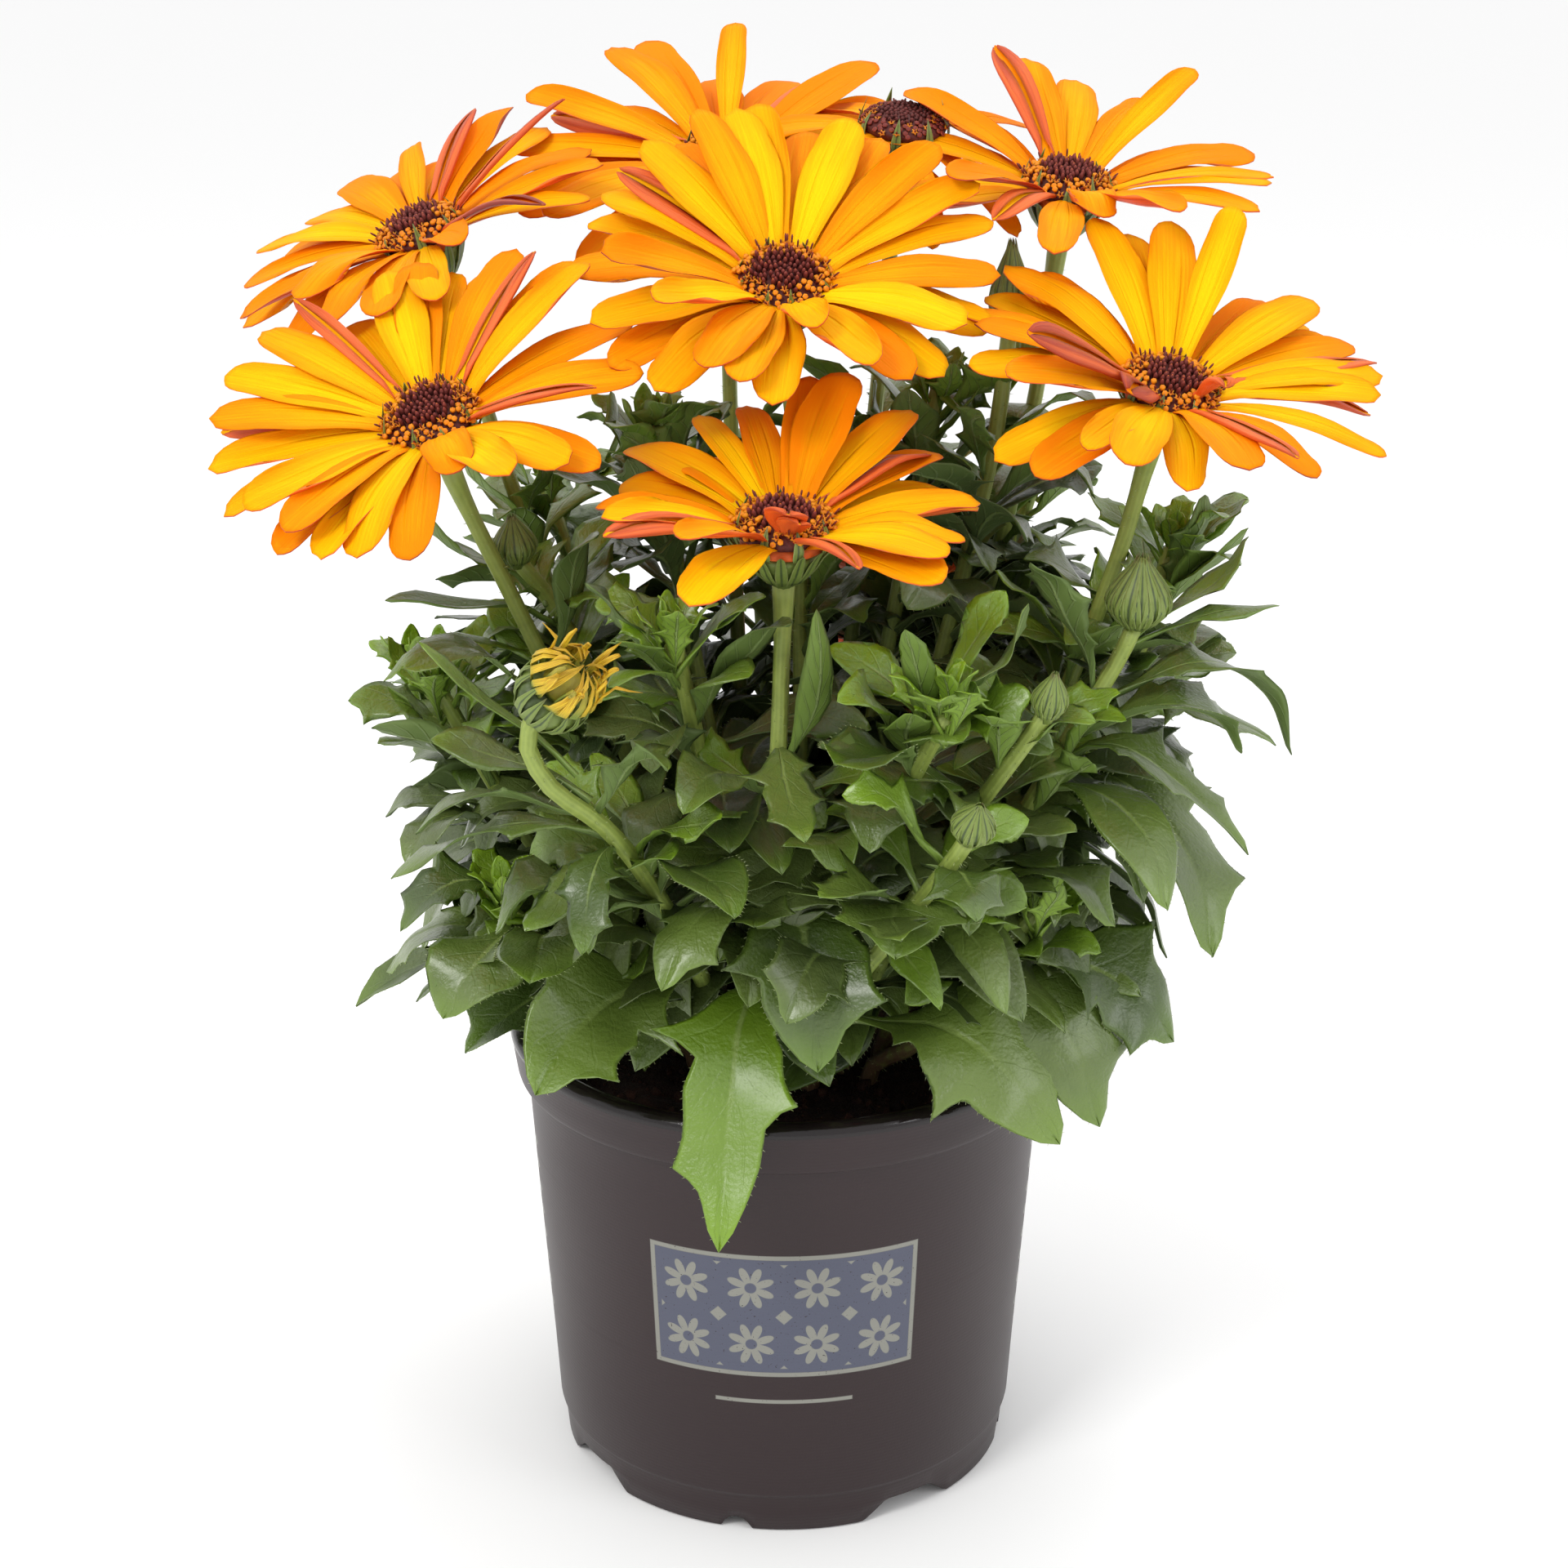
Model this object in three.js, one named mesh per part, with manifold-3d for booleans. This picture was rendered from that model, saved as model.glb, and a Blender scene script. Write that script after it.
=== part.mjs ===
// Osteospermum (African daisy) in its nursery pot.
//
// Millimetres, +Z up. The origin is the middle of the pot's base on the ground, and -Y is the front.
// Every stem stands in a plain hole in the soil and carries its own leaves. Each open bloom is three
// bodies on one axis: the green cup, which is one with its stem, the ray petals on their collar, and
// the disc of florets.

import * as THREE from 'three';
import { mergeVertices } from 'three/addons/utils/BufferGeometryUtils.js';
import Module from 'manifold-3d';

const wasm = await Module();
wasm.setup();

// ---------------------------------------------------------------- driving dimensions

const GAP = 0.3; // clearance wherever two bodies meet

const POT = {
  sides: 28, lipTop: 88.5, lipInner: 48.6, lipCrest: 50.4, rim: 52.5, rimTop: 86.4,
  collarBottom: 79, collarFoot: 51.2, wallTop: 49.4, wallFoot: 44.8, wallFootTop: 8.5,
  footRing: 44.2, foot: 43.4, floorUnder: 4.2, floorTop: 5.6, wall: 1.3,
};
const FEET = {
  count: 4, firstNotch: 33, notchWide: 27, notchNarrow: 13, notchHigh: 4.2,
  halfRound: 2.7, bandInner: 36, drains: 4, drainRing: 28, drainRadius: 3.2,
};
const SOIL = { top: 83, flat: 38, edgeTop: 81.4, edge: 47.2, footEdge: 43.0, sides: 18 };
const STEM = { sunk: 73, radius: 1.9, stalk: 1.55, sides: 5, hole: 3, step: 34 };
const CUP = { bottom: 9, top: 2.1, rim: 6.6, sides: 8 };
const COLLAR = { radius: 8.2, top: 0.3, under: -1.75, sides: 10 };
const DISC = { base: 5.4, radius: 7.4, under: 0.65, shoulder: 2.7, crown: 5.0, columns: 10 };
const PETAL = {
  root: 7, sunk: 0.9, claw: 0.2, thick: 0.9, trough: 0.08, bow: 1.6,
  stations: [0, 0.52, 1], free: [0.3, 0.52, 1],
};
const LEAF = { thick: 0.9, trough: 0.16, stalk: 0.1, flatBelow: 12, free: [0.3, 0.6] };

// Where each bloom's disc stands, which way it faces (heading from the front towards +X, then rise
// above the horizon), and the usual length and width of its petals.
// A petal is [angle round the disc, lift off its plane, length, width, roll], the last three optional.
const BLOOMS = {
  centre: {
    at: [0, -13, 229], heading: 0, rise: 59, length: 38, width: 10.5,
    petals: [[12, 17], [22, 8], [40, 19], [53, 8], [71, 17], [84, 10, 36], [97, 18],
      [112, 25], [122, 9], [134, 20], [149, 8], [178, 10], [200, 27, 36], [214, 10], [229, 28, 38],
      [247, 12], [260, 22], [285, 30, 28], [295, 14], [314, 6], [328, 20], [344, 8]],
  },
  left: {
    at: [-59, -31, 209], heading: -26, rise: 61, length: 38, width: 10.5,
    petals: [[0, 20, 36, 7, 50], [20, 8], [44, 6], [58, 20], [75, 22], [88, 12], [104, 4], [120, 14],
      [141, 1], [156, 22, 38, 5, 60], [168, 16], [189, 14], [205, 5], [232, 4], [247, 16], [264, 6],
      [284, 12], [313, 26, 27], [327, 16], [344, 7]],
  },
  right: {
    at: [65, -26, 213], heading: 25, rise: 66, length: 39, width: 10.5,
    petals: [[6, 9, 38], [23, 16], [36, 4], [50, 33, 39, 7], [65, 24], [75, 14], [91, 24], [108, 6],
      [128, 12], [149, 4], [165, 14], [183, 33, 34, 9, 50], [192, 0], [204, 12], [224, 16],
      [242, 8], [258, 24, 36], [274, 14], [302, 14, 42, 6], [328, 10], [351, 1, 38]],
  },
  front: {
    at: [0, -54, 196], heading: 3, rise: 78, length: 36, width: 10.5,
    petals: [[5, 14], [24, -2], [40, 12], [54, 21], [69, 28], [84, 16, 36, 8],
      [99, 4, 36, 7], [110, 18, 36, 6], [124, 8], [143, -4], [182, 10], [206, 14], [219, 24],
      [240, 12], [271, 48, 16, 7], [289, 20, 34, 7, 50], [310, 8], [330, 22]],
  },
  right_back: {
    at: [51, 18, 241], heading: 21, rise: 75, length: 38, width: 10,
    petals: [[0, 12], [14, 3], [27, 27, 38, 6], [41, 14], [52, 2], [64, 15], [79, 24],
      [95, 31, 38, 8, 60], [110, 4], [128, 12], [144, 3], [172, 0], [196, 4], [206, 18, 36],
      [220, 12, 32, 8, 50], [240, 5], [261, 22, 24], [278, 12, 34], [306, 10], [324, 20, 38, 6],
      [343, 3]],
  },
  back: {
    at: [-11, 39, 243], heading: 0, rise: 66, length: 41, width: 10.5,
    petals: [[14, 2], [36, -6], [47, 8], [60, 0, 41, 8, 60], [73, -8], [87, 10, 41, 8],
      [112, 9], [125, 14], [137, -5], [150, 2, 38, 8, 60], [171, 4], [187, -6], [203, 4], [219, 11],
      [262, -10], [330, -6]],
  },
  left_back: {
    at: [-66, 22, 232], heading: -56, rise: 66, length: 37, width: 10,
    petals: [[15, 14, 37, 7, 50], [48, 4], [104, 4], [116, 12], [127, 19, 37, 7, 60],
      [139, -1], [150, 9, 37, 6], [173, 8], [190, 3], [213, 8], [240, -4], [266, 6],
      [288, 17, 32], [302, 8], [336, 2], [350, 12, 24]],
  },
  spent: {
    at: [22, 33, 250], heading: 20, rise: 75, length: 33, width: 8,
    petals: [[16, -8], [66, -20], [140, -18], [168, -6], [196, -10], [222, -14], [262, -22],
      [318, -16]],
  },
  rear: {
    at: [27, 62, 153], heading: 160, rise: 38, length: 34, width: 10.5,
    petals: [[4, 12], [32, 6], [60, 16], [87, 8], [115, 18], [143, 6], [170, 14], [198, 8],
      [226, 16], [253, 4], [281, 12], [309, 8], [336, 16]],
  },
};

// Each stem runs through these points from the soil up. Its leaves are [height on the stem, tip
// point, width, arch, roll, edge], then come `spray` leaves set by the spiral rule up to `leafTop`.
const STEMS = {
  centre: {
    via: [[2, 0], [3, 1, 125], [3, 0, 165], [2.2, -4, 198]], leafTop: 178, spray: 5,
  },
  left: {
    via: [[-13, -8], [-22, -10.5, 105], [-34, -14, 140], [-45, -17, 168]], leafTop: 158, spray: 5,
    leaves: [[162, [-33, -27, 190], 9, 3, -20, 'entire'], [156, [-64, -40, 171], 13, 4, 20, 'entire']],
  },
  right: {
    via: [[21, -8], [32, -11, 110], [47, -15.5, 148], [58, -19, 181]], leafTop: 170, spray: 5,
    leaves: [[106, [64, -8, 92], 18, 10, 0, 'toothedB']],
  },
  front: {
    via: [[-3, -18], [-3, -28, 102], [-2.5, -43, 130], [-1, -54, 158]], leafTop: 152, spray: 2,
    leaves: [[158, [3, -80, 151], 9, 5, 0, 'toothedB'], [126, [14, -65, 101], 21, 9, 0, 'toothedA'],
      [108, [-11, -66, 72], 17, 15, 10, 'toothedB'], [150, [-16, -73, 156], 11, 4, 20, 'entire'],
      [154, [6, -67, 186], 6, -3, 0, 'entire'], [120, [-9, -77, 119], 12, 7, 0, 'toothedA']],
  },
  right_back: {
    via: [[15, 8], [21, 10, 110], [35, 15, 155], [46, 19, 200]], leafTop: 185, spray: 4,
  },
  back: {
    via: [[-6, 19], [-7, 24, 108], [-9, 34, 150], [-10.5, 43, 200]], leafTop: 190, spray: 5,
  },
  left_back: {
    via: [[-16, 11], [-22, 13, 108], [-38, 18, 148], [-54, 23, 194]], leafTop: 180, spray: 6,
  },
  spent: {
    via: [[5, 13], [8, 16, 105], [13, 25, 155], [18, 33, 205]], leafTop: 196, spray: 5,
  },
  rear: {
    via: [[10, 28], [12, 34, 96], [16, 42, 116], [20, 47.5, 132]], leafTop: 118, spray: 2,
    leaves: [[98, [31, 62, 84], 17, 9, 0, 'toothedB']],
  },
  bud_yellow: {
    via: [[-9, -19], [-13, -29, 102], [-20, -49, 128], [-29, -65, 149], [-38, -71, 159], [-41, -73, 167]],
    end: [-38.6, -75.1, 173.2], leafTop: 146, spray: 0,
    leaves: [[101, [-43, -57, 93], 21, 9, 32, 'toothedA'], [151, [-61, -67, 151], 9, 4, -15, 'toothedA'],
      [147, [-66, -60, 139], 9, 6, 0, 'toothedB'], [144, [-32, -83, 134], 8, 5, 0, 'toothedA'],
      [153, [-18, -75, 165], 10, 3, 20, 'toothedB'], [155, [-57, -67, 166], 9, 2, 20, 'entire'],
      [160, [-58, -67, 182], 6, 0, 0, 'entire'], [136, [-41, -76, 134], 9, 5, 10, 'entire'],
      [132, [-7, -80, 141], 13, 6, 15, 'entire'], [130, [-49, -66, 133], 14, 5, -10, 'entire']],
  },
  bud_onion: {
    via: [[18, -14], [24, -20, 102], [38, -32, 132], [49, -39, 156], [57, -40, 171]],
    end: [59.5, -40, 177], leafTop: 150, spray: 0,
    leaves: [[172, [85, -31, 177], 6, 3, 0, 'entire'], [168, [80, -33, 183], 6, 1, 0, 'entire'],
      [160, [91, -31, 152], 10, 13, 0, 'toothedA'], [156, [80, -42, 157], 15, 6, 15, 'toothedB'],
      [150, [79, -46, 137], 11, 10, -10, 'toothedA'], [146, [66, -62, 135], 14, 7, 0, 'entire'],
      [164, [42, -50, 192], 8, 0, 0, 'toothedB'], [154, [30, -61, 158], 9, 5, 0, 'entire']],
  },
  bud_lime: {
    via: [[-11, 0], [-19, -1, 108], [-31, -4, 146], [-42, -9, 172]], end: [-47.3, -14.3, 181],
    leafTop: 176, spray: 5,
    leaves: [[168, [-69, -26, 178], 7, 1, 0, 'entire'], [162, [-70, -31, 167], 6, 3, 0, 'entire'],
      [174, [-64, -21, 190], 7, 0, 0, 'entire']],
  },
  bud_dark: {
    via: [[11, 0], [17, 1, 112], [29, 2, 158], [38, 1.5, 200]], end: [40, 0.5, 219],
    leafTop: 205, spray: 6,
  },
  bud_side: {
    via: [[11, -17], [16, -27, 106], [27, -44, 136], [38, -60, 160]], end: [42.5, -65, 169],
    leafTop: 164, spray: 3,
    leaves: [[128, [58, -54, 130], 13, 6, 0, 'toothedA'], [122, [38, -68, 119], 9, 6, 0, 'entire']],
  },
  bud_low: {
    via: [[5, -24], [9, -35, 103], [18, -56, 126], [27, -75, 147]], end: [29.5, -79, 153],
    leafTop: 150, spray: 2,
    leaves: [[140, [31, -86, 142], 11, 5, 10, 'toothedA'], [126, [18, -77, 131], 20, 8, 10, 'toothedB'],
      [122, [26, -72, 120], 7, 5, 0, 'entire']],
  },
  shoot_mid: {
    via: [[4, -9], [9, -20, 108], [17, -44, 140]], end: [26, -69, 170], leafTop: 168, spray: 7,
    leaves: [[156, [8, -79, 166], 15, 2, 10, 'entire'], [160, [19, -76, 187], 6, 0, 0, 'entire'],
      [150, [41, -62, 184], 12, 4, 0, 'toothedA']],
  },
  shoot_left: {
    via: [[-7, -8], [-9, -18, 112], [-13, -36, 144]], end: [-18, -55, 178], leafTop: 176, spray: 7,
    leaves: [[168, [-28, -69, 177], 6, 2, 0, 'entire'], [164, [-31, -54, 189], 8, 0, 0, 'toothedA'],
      [160, [0, -62, 186], 9, 2, 0, 'entire']],
  },
  shoot_right: {
    via: [[19, -1], [30, -3, 106], [46, -6, 132], [63, -9, 160]], end: [69, -10, 182],
    leafTop: 180, spray: 6,
    leaves: [[168, [81, -22, 188], 6, 1, 0, 'entire'], [172, [74, -22, 193], 8, 0, 0, 'toothedA'],
      [148, [86, -20, 147], 13, 10, 0, 'toothedB'], [138, [78, -40, 117], 19, 10, 0, 'toothedA']],
  },
  shoot_top_left: {
    via: [[-6, 6], [-9, 7, 112], [-16, 8, 152]], end: [-24, 8, 198], leafTop: 196, spray: 7,
  },
  shoot_top_right: {
    via: [[8, 6], [11, 7, 112], [19, 9, 156]], end: [28, 11, 206], leafTop: 204, spray: 6,
  },
  shoot_far_left: {
    via: [[-19, -1], [-30, -4, 102], [-46, -8, 124]], end: [-62, -13, 156], leafTop: 154, spray: 8,
  },
  low_left: {
    via: [[-17, -14], [-25, -19, 94], [-38, -26, 108]], end: [-49, -33, 122], leafTop: 118, spray: 1,
    leaves: [[118, [-60, -50, 109], 17, 5, 15, 'entire'], [112, [-73, -32, 112], 17, 5, 0, 'toothedA'],
      [102, [-79, -24, 100], 13, 8, 0, 'entire'], [100, [-57, -34, 94], 17, 6, 10, 'toothedB'],
      [96, [-46, -55, 105], 18, 9, 10, 'toothedA'], [114, [-42, -69, 121], 15, 6, 0, 'entire'],
      [120, [-67, -41, 121], 10, 8, 20, 'toothedB']],
  },
  low_right: {
    via: [[16, -21], [24, -27, 93], [34, -33, 108]], end: [44, -39, 124], leafTop: 118, spray: 2,
    leaves: [[104, [57, -48, 86], 19, 13, 10, 'toothedA'], [110, [72, -36, 98], 19, 7, 10, 'toothedB']],
  },
  back_left: {
    via: [[-13, 17], [-20, 24, 102], [-33, 38, 134]], end: [-47, 51, 178], leafTop: 176, spray: 8,
    leaves: [[100, [-52, 44, 88], 18, 10, 0, 'toothedB']],
  },
  back_right: {
    via: [[15, 18], [21, 25, 102], [35, 38, 136]], end: [50, 49, 182], leafTop: 180, spray: 8,
    leaves: [[100, [50, 46, 88], 18, 10, 0, 'toothedA']],
  },
  back_mid: {
    via: [[0, 26], [0, 36, 102], [-3, 52, 130]], end: [-6, 68, 166], leafTop: 164, spray: 8,
  },
  right_low: {
    via: [[22, 6], [33, 10, 98], [52, 16, 120]], end: [72, 21, 148], leafTop: 146, spray: 7,
    leaves: [[100, [62, 30, 84], 19, 10, 0, 'toothedA']],
  },
  left_low: {
    via: [[-22, 7], [-32, 11, 98], [-51, 17, 120]], end: [-70, 22, 148], leafTop: 146, spray: 7,
    leaves: [[100, [-63, 28, 84], 19, 10, 0, 'toothedB']],
  },
  back_low: {
    via: [[-8, 31], [-14, 42, 96], [-24, 58, 110]], end: [-34, 72, 130], leafTop: 128, spray: 5,
    leaves: [[98, [-30, 66, 80], 18, 12, 0, 'toothedA']],
  },
};

const BUDS = {
  bud_onion: { long: 13, wide: 5.6, heading: 10, rise: 80, sides: 10 },
  bud_lime: { long: 9, wide: 3.8, heading: -20, rise: 80, sides: 8 },
  bud_dark: { long: 17, wide: 3.6, heading: 0, rise: 86, sides: 8 },
  bud_side: { long: 8, wide: 2.8, heading: 30, rise: 75, sides: 8 },
  bud_low: { long: 8, wide: 3.4, heading: 20, rise: 60, sides: 8 },
};
const YELLOW_BUD = {
  at: [-35.2, -78, 177.2], heading: 50, rise: 42, rays: 9, root: 3.2, long: 11, wide: 2.3, lift: 66,
};

// Leaves of the spiral rule, from the lowest to the highest on a stem.
const SPRAY = {
  first: 96, turn: 137.5, long: [37, 19], wide: [17, 7.5], rise: [-14, 46], arch: [0.3, 0.1],
};
// A blade that would cross another body is bent clear: it takes the first free one of these bends.
const BENDS = [[0, 0], [6, 0], [-6, 0], [0, 4], [0, -4], [12, 2], [-12, 2], [12, -4], [-12, -4],
  [18, 6], [-18, 6], [0, 9], [24, -3], [-24, -3], [30, 8], [-30, 8]];
// A petal's bends are a turn round the disc and a lift.
const PETAL_BENDS = [[0, 0], [0, 3], [0, -3], [2, 5], [-2, -5], [-2, 6], [2, -6], [0, 9], [0, -9],
  [3, 11], [-3, -11]];

const COLOUR = {
  pot: 0x4b4342, soil: 0x3a2018, leaf: 0x56703f, rays: 0xf79a12, disc: 0x6a2618,
  yellow: 0xe0b321,
};

// ---------------------------------------------------------------- small tools

const UP = new THREE.Vector3(0, 0, 1);
const rad = THREE.MathUtils.degToRad;
const lerp = THREE.MathUtils.lerp;
const point = (list) => new THREE.Vector3(...list);

/** A seeded stream of even draws between 0 and 1. */
function draws(seed) {
  let state = seed >>> 0;
  return () => {
    state = (state + 0x6d2b79f5) >>> 0;
    let mixed = Math.imul(state ^ (state >>> 15), 1 | state);
    mixed = (mixed + Math.imul(mixed ^ (mixed >>> 7), 61 | mixed)) ^ mixed;
    return ((mixed ^ (mixed >>> 14)) >>> 0) / 4294967296;
  };
}

/** A closed three.js geometry as a solid that can be joined and cut. */
function solidOf(geometry) {
  const bare = geometry.clone();
  bare.deleteAttribute('normal');
  bare.deleteAttribute('uv');
  const merged = mergeVertices(bare, 1e-4);
  return new wasm.Manifold(new wasm.Mesh({
    numProp: 3,
    vertProperties: new Float32Array(merged.attributes.position.array),
    triVerts: new Uint32Array(merged.index.array),
  }));
}

/** The solid back as a geometry. Only its main body is kept, so sealed pockets and scraps go. */
function geometryOf(solid) {
  const bodies = solid.decompose().sort((a, b) => b.volume() - a.volume());
  const mesh = bodies[0].getMesh();
  const geometry = new THREE.BufferGeometry();
  geometry.setAttribute('position', new THREE.BufferAttribute(new Float32Array(mesh.vertProperties), 3));
  geometry.setIndex(new THREE.BufferAttribute(new Uint32Array(mesh.triVerts), 1));
  geometry.computeVertexNormals();
  return geometry;
}

/** A closed geometry from a list of points and a list of triangles. */
function meshOf(points, triangles) {
  const geometry = new THREE.BufferGeometry();
  geometry.setFromPoints(points);
  geometry.setIndex(triangles);
  return geometry;
}

/** The frame of a bloom: N out of its disc, E1 level to its side, E2 up its face. */
function facing(heading, rise) {
  const N = point([
    Math.sin(rad(heading)) * Math.cos(rad(rise)),
    -Math.cos(rad(heading)) * Math.cos(rad(rise)),
    Math.sin(rad(rise)),
  ]);
  const E1 = new THREE.Vector3().crossVectors(UP, N).normalize();
  const E2 = new THREE.Vector3().crossVectors(N, E1);
  return { N, E1, E2 };
}

/** A turned profile [radius, height] stood on an axis at a place. */
function turned(profile, sides, at, frame) {
  const geometry = new THREE.LatheGeometry(profile.map(([r, h]) => new THREE.Vector2(r, h)), sides);
  const basis = new THREE.Matrix4().makeBasis(frame.E2, frame.N, frame.E1);
  geometry.applyMatrix4(basis.setPosition(at));
  return solidOf(geometry);
}

// ---------------------------------------------------------------- blades

const smooth = (x) => {
  const t = THREE.MathUtils.clamp(x, 0, 1);
  return t * t * (3 - 2 * t);
};

/** Half width of a petal along it, as a share of its widest: narrow claw, broad middle, round end. */
function petalShape(s) {
  const end = s < 0.7 ? 1 : Math.sqrt(Math.max(0, 1 - ((s - 0.7) / 0.3) ** 2));
  return (PETAL.claw + (1 - PETAL.claw) * smooth(s / 0.52)) * end;
}

/** Half width of a leaf's plain outline: a slim stalk, widest two thirds up, a drawn-out point. */
function leafShape(s) {
  const end = s < 0.62 ? 1 : Math.max(0, 1 - ((s - 0.62) / 0.38) ** 2) ** 0.75;
  return (LEAF.stalk + (1 - LEAF.stalk) * smooth((s - 0.1) / 0.5)) * end;
}

/** How far a tooth at `at` pushes the edge out: a slow rise and a sharp fall towards the tip. */
function tooth(s, at, size) {
  if (s <= at - 0.13 || s >= at + 0.06) return 0;
  return size * (s < at ? ((s - at + 0.13) / 0.13) ** 1.6 : 1 - (s - at) / 0.06);
}

// The stations along each kind of leaf edge, and its teeth on the left and the right.
const EDGES = {
  entire: { stations: [0, 0.4, 0.74], left: [], right: [] },
  young: { stations: [0, 0.5], left: [], right: [] },
  lobedA: { stations: [0, 0.42, 0.7], left: [[0.42, 0.6]], right: [[0.7, 0.55]] },
  lobedB: { stations: [0, 0.42, 0.7], left: [[0.7, 0.55]], right: [[0.42, 0.6]] },
  toothedA: {
    stations: [0, 0.36, 0.5, 0.66, 0.84],
    left: [[0.5, 0.7], [0.84, 0.5]], right: [[0.36, 0.5], [0.66, 0.4]],
  },
  toothedB: {
    stations: [0, 0.42, 0.54, 0.7, 0.86],
    left: [[0.42, 0.5], [0.7, 0.4]], right: [[0.54, 0.7], [0.86, 0.5]],
  },
};

/** A blade lofted through rings that run left edge, top, right edge, bottom; flat ones have no top. */
function loftBlade(rings, tip) {
  const points = rings.flat();
  const corners = rings[0].length;
  const triangles = [];
  const id = (ring, corner) => corners * ring + (corner % corners);
  for (let i = 0; i + 1 < rings.length; i += 1) {
    for (let j = 0; j < corners; j += 1) {
      const [a, b, c, d] = [id(i, j), id(i, j + 1), id(i + 1, j + 1), id(i + 1, j)];
      triangles.push(...(j < 2 ? [a, c, d, a, b, c] : [a, b, d, b, c, d]));
    }
  }
  const last = rings.length - 1;
  for (let j = 0; j + 2 < corners; j += 1) {
    triangles.push(id(0, corners - 1), id(0, j + 1), id(0, j));
    if (!tip) triangles.push(id(last, corners - 1), id(last, j), id(last, j + 1));
  }
  if (tip) {
    points.push(tip);
    for (let j = 0; j < corners; j += 1) {
      triangles.push(id(last, j), id(last, j + 1), corners * rings.length);
    }
  }
  return solidOf(meshOf(points, triangles));
}

/** One ring of a blade: its middle, the frame across it, its two half widths, trough and thickness. */
function bladeRing(middle, { side, normal }, [left, right], { trough, thick, flat }) {
  const edge = (half, sign) => middle.clone()
    .addScaledVector(side, sign * half)
    .addScaledVector(normal, trough * half);
  const under = middle.clone().addScaledVector(normal, flat ? -0.75 * thick : -thick / 2);
  if (flat) return [edge(left, -1), edge(right, 1), under];
  return [edge(left, -1), middle.clone().addScaledVector(normal, thick / 2), edge(right, 1), under];
}

/** The frame across a blade at one point of its curve, rolled about the tangent. */
function bladeFrame(curve, s, level, up, roll) {
  const tangent = curve.getTangent(s);
  const side = new THREE.Vector3().crossVectors(level, up).normalize();
  const normal = new THREE.Vector3().crossVectors(side, tangent).normalize();
  const turn = rad(roll);
  const rolledSide = side.clone().multiplyScalar(Math.cos(turn)).addScaledVector(normal, Math.sin(turn));
  const rolledNormal = normal.multiplyScalar(Math.cos(turn)).addScaledVector(side, -Math.sin(turn));
  return { side: rolledSide, normal: rolledNormal };
}

/** A leaf from its root on a stem to its tip, arched between them. */
function leafBlade(root, tip, width, arch, roll, edge, stations) {
  const middle = root.clone().lerp(tip, 0.5).addScaledVector(UP, 2 * arch);
  const curve = new THREE.QuadraticBezierCurve3(root, middle, tip);
  const level = tip.clone().sub(root).setZ(0).normalize();
  const kind = EDGES[edge];
  const half = (s, teeth) => (width / 2) * leafShape(s)
    * (1 + teeth.reduce((sum, [at, size]) => sum + tooth(s, at, size), 0));
  const section = { ...LEAF, flat: width < LEAF.flatBelow && Math.abs(roll) <= 20 };
  const rings = stations.map((s) => bladeRing(curve.getPoint(s),
    bladeFrame(curve, s, level, UP, roll * s), [half(s, kind.left), half(s, kind.right)], section));
  return loftBlade(rings, tip);
}

/** A petal from the collar out, at an angle round the disc and a lift off its plane. */
function petalBlade(at, frame, [angle, lift, length, width, roll = 0], rootAt, stations) {
  const out = frame.E1.clone().multiplyScalar(Math.cos(rad(angle)))
    .addScaledVector(frame.E2, Math.sin(rad(angle)));
  const root = at.clone().addScaledVector(out, rootAt).addScaledVector(frame.N, -PETAL.sunk);
  const reach = length - rootAt;
  const tip = at.clone().addScaledVector(out, rootAt + reach * Math.cos(rad(lift)))
    .addScaledVector(frame.N, reach * Math.sin(rad(lift)));
  const middle = root.clone().lerp(tip, 0.5).addScaledVector(frame.N, 2 * PETAL.bow);
  const curve = new THREE.QuadraticBezierCurve3(root, middle, tip);
  const rings = stations.map((s) => {
    const half = (width / 2) * petalShape(Math.min(s, 0.95));
    return bladeRing(curve.getPoint(s), bladeFrame(curve, s, out, frame.N, roll * s), [half, half],
      { ...PETAL, flat: !roll });
  });
  return loftBlade(rings, null);
}

// ---------------------------------------------------------------- keeping bodies clear

const standing = []; // every placed solid with its node and box

function boxOf(solid) {
  const { min, max } = solid.boundingBox();
  return new THREE.Box3(point([...min]), point([...max])).expandByScalar(GAP);
}

function isClear(node, solid) {
  const box = boxOf(solid);
  return standing.every((other) => other.node === node || !other.box.intersectsBox(box)
    || solid.minGap(other.solid, 2 * GAP) >= GAP);
}

function stand(node, solid, free = null) {
  standing.push({ node, solid, box: boxOf(solid), free });
  return solid;
}

/** Whether a petal's free part misses those of its neighbours on the same collar. */
function isFree(node, part) {
  return standing.every((other) => other.node !== node || !other.free
    || other.free.minGap(part, 0.2) > 0.05);
}

/** The blade in the first bend that clears every other node, or null. With `free`, the bend also
 *  keeps the blade's free part off its neighbours wherever one of the bends can. */
function settle(node, bends, make, free = null) {
  let fallback = null;
  for (const bend of bends) {
    const solid = make(...bend);
    if (!isClear(node, solid)) continue;
    const part = free && free(...bend);
    if (!part || isFree(node, part)) return stand(node, solid, part);
    fallback ??= { solid, part };
  }
  if (fallback) return stand(node, fallback.solid, fallback.part);
  return null;
}

// ---------------------------------------------------------------- the pieces

const plant = new THREE.Group();
const upright = { N: UP, E1: point([1, 0, 0]), E2: point([0, 1, 0]) };

function addMesh(name, solid, colour, roughness) {
  const material = new THREE.MeshStandardMaterial({ color: colour, roughness, metalness: 0 });
  const mesh = new THREE.Mesh(geometryOf(solid), material);
  mesh.name = name;
  plant.add(mesh);
}

const joined = (solids) => solids.reduce((whole, next) => whole.add(next));

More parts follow.
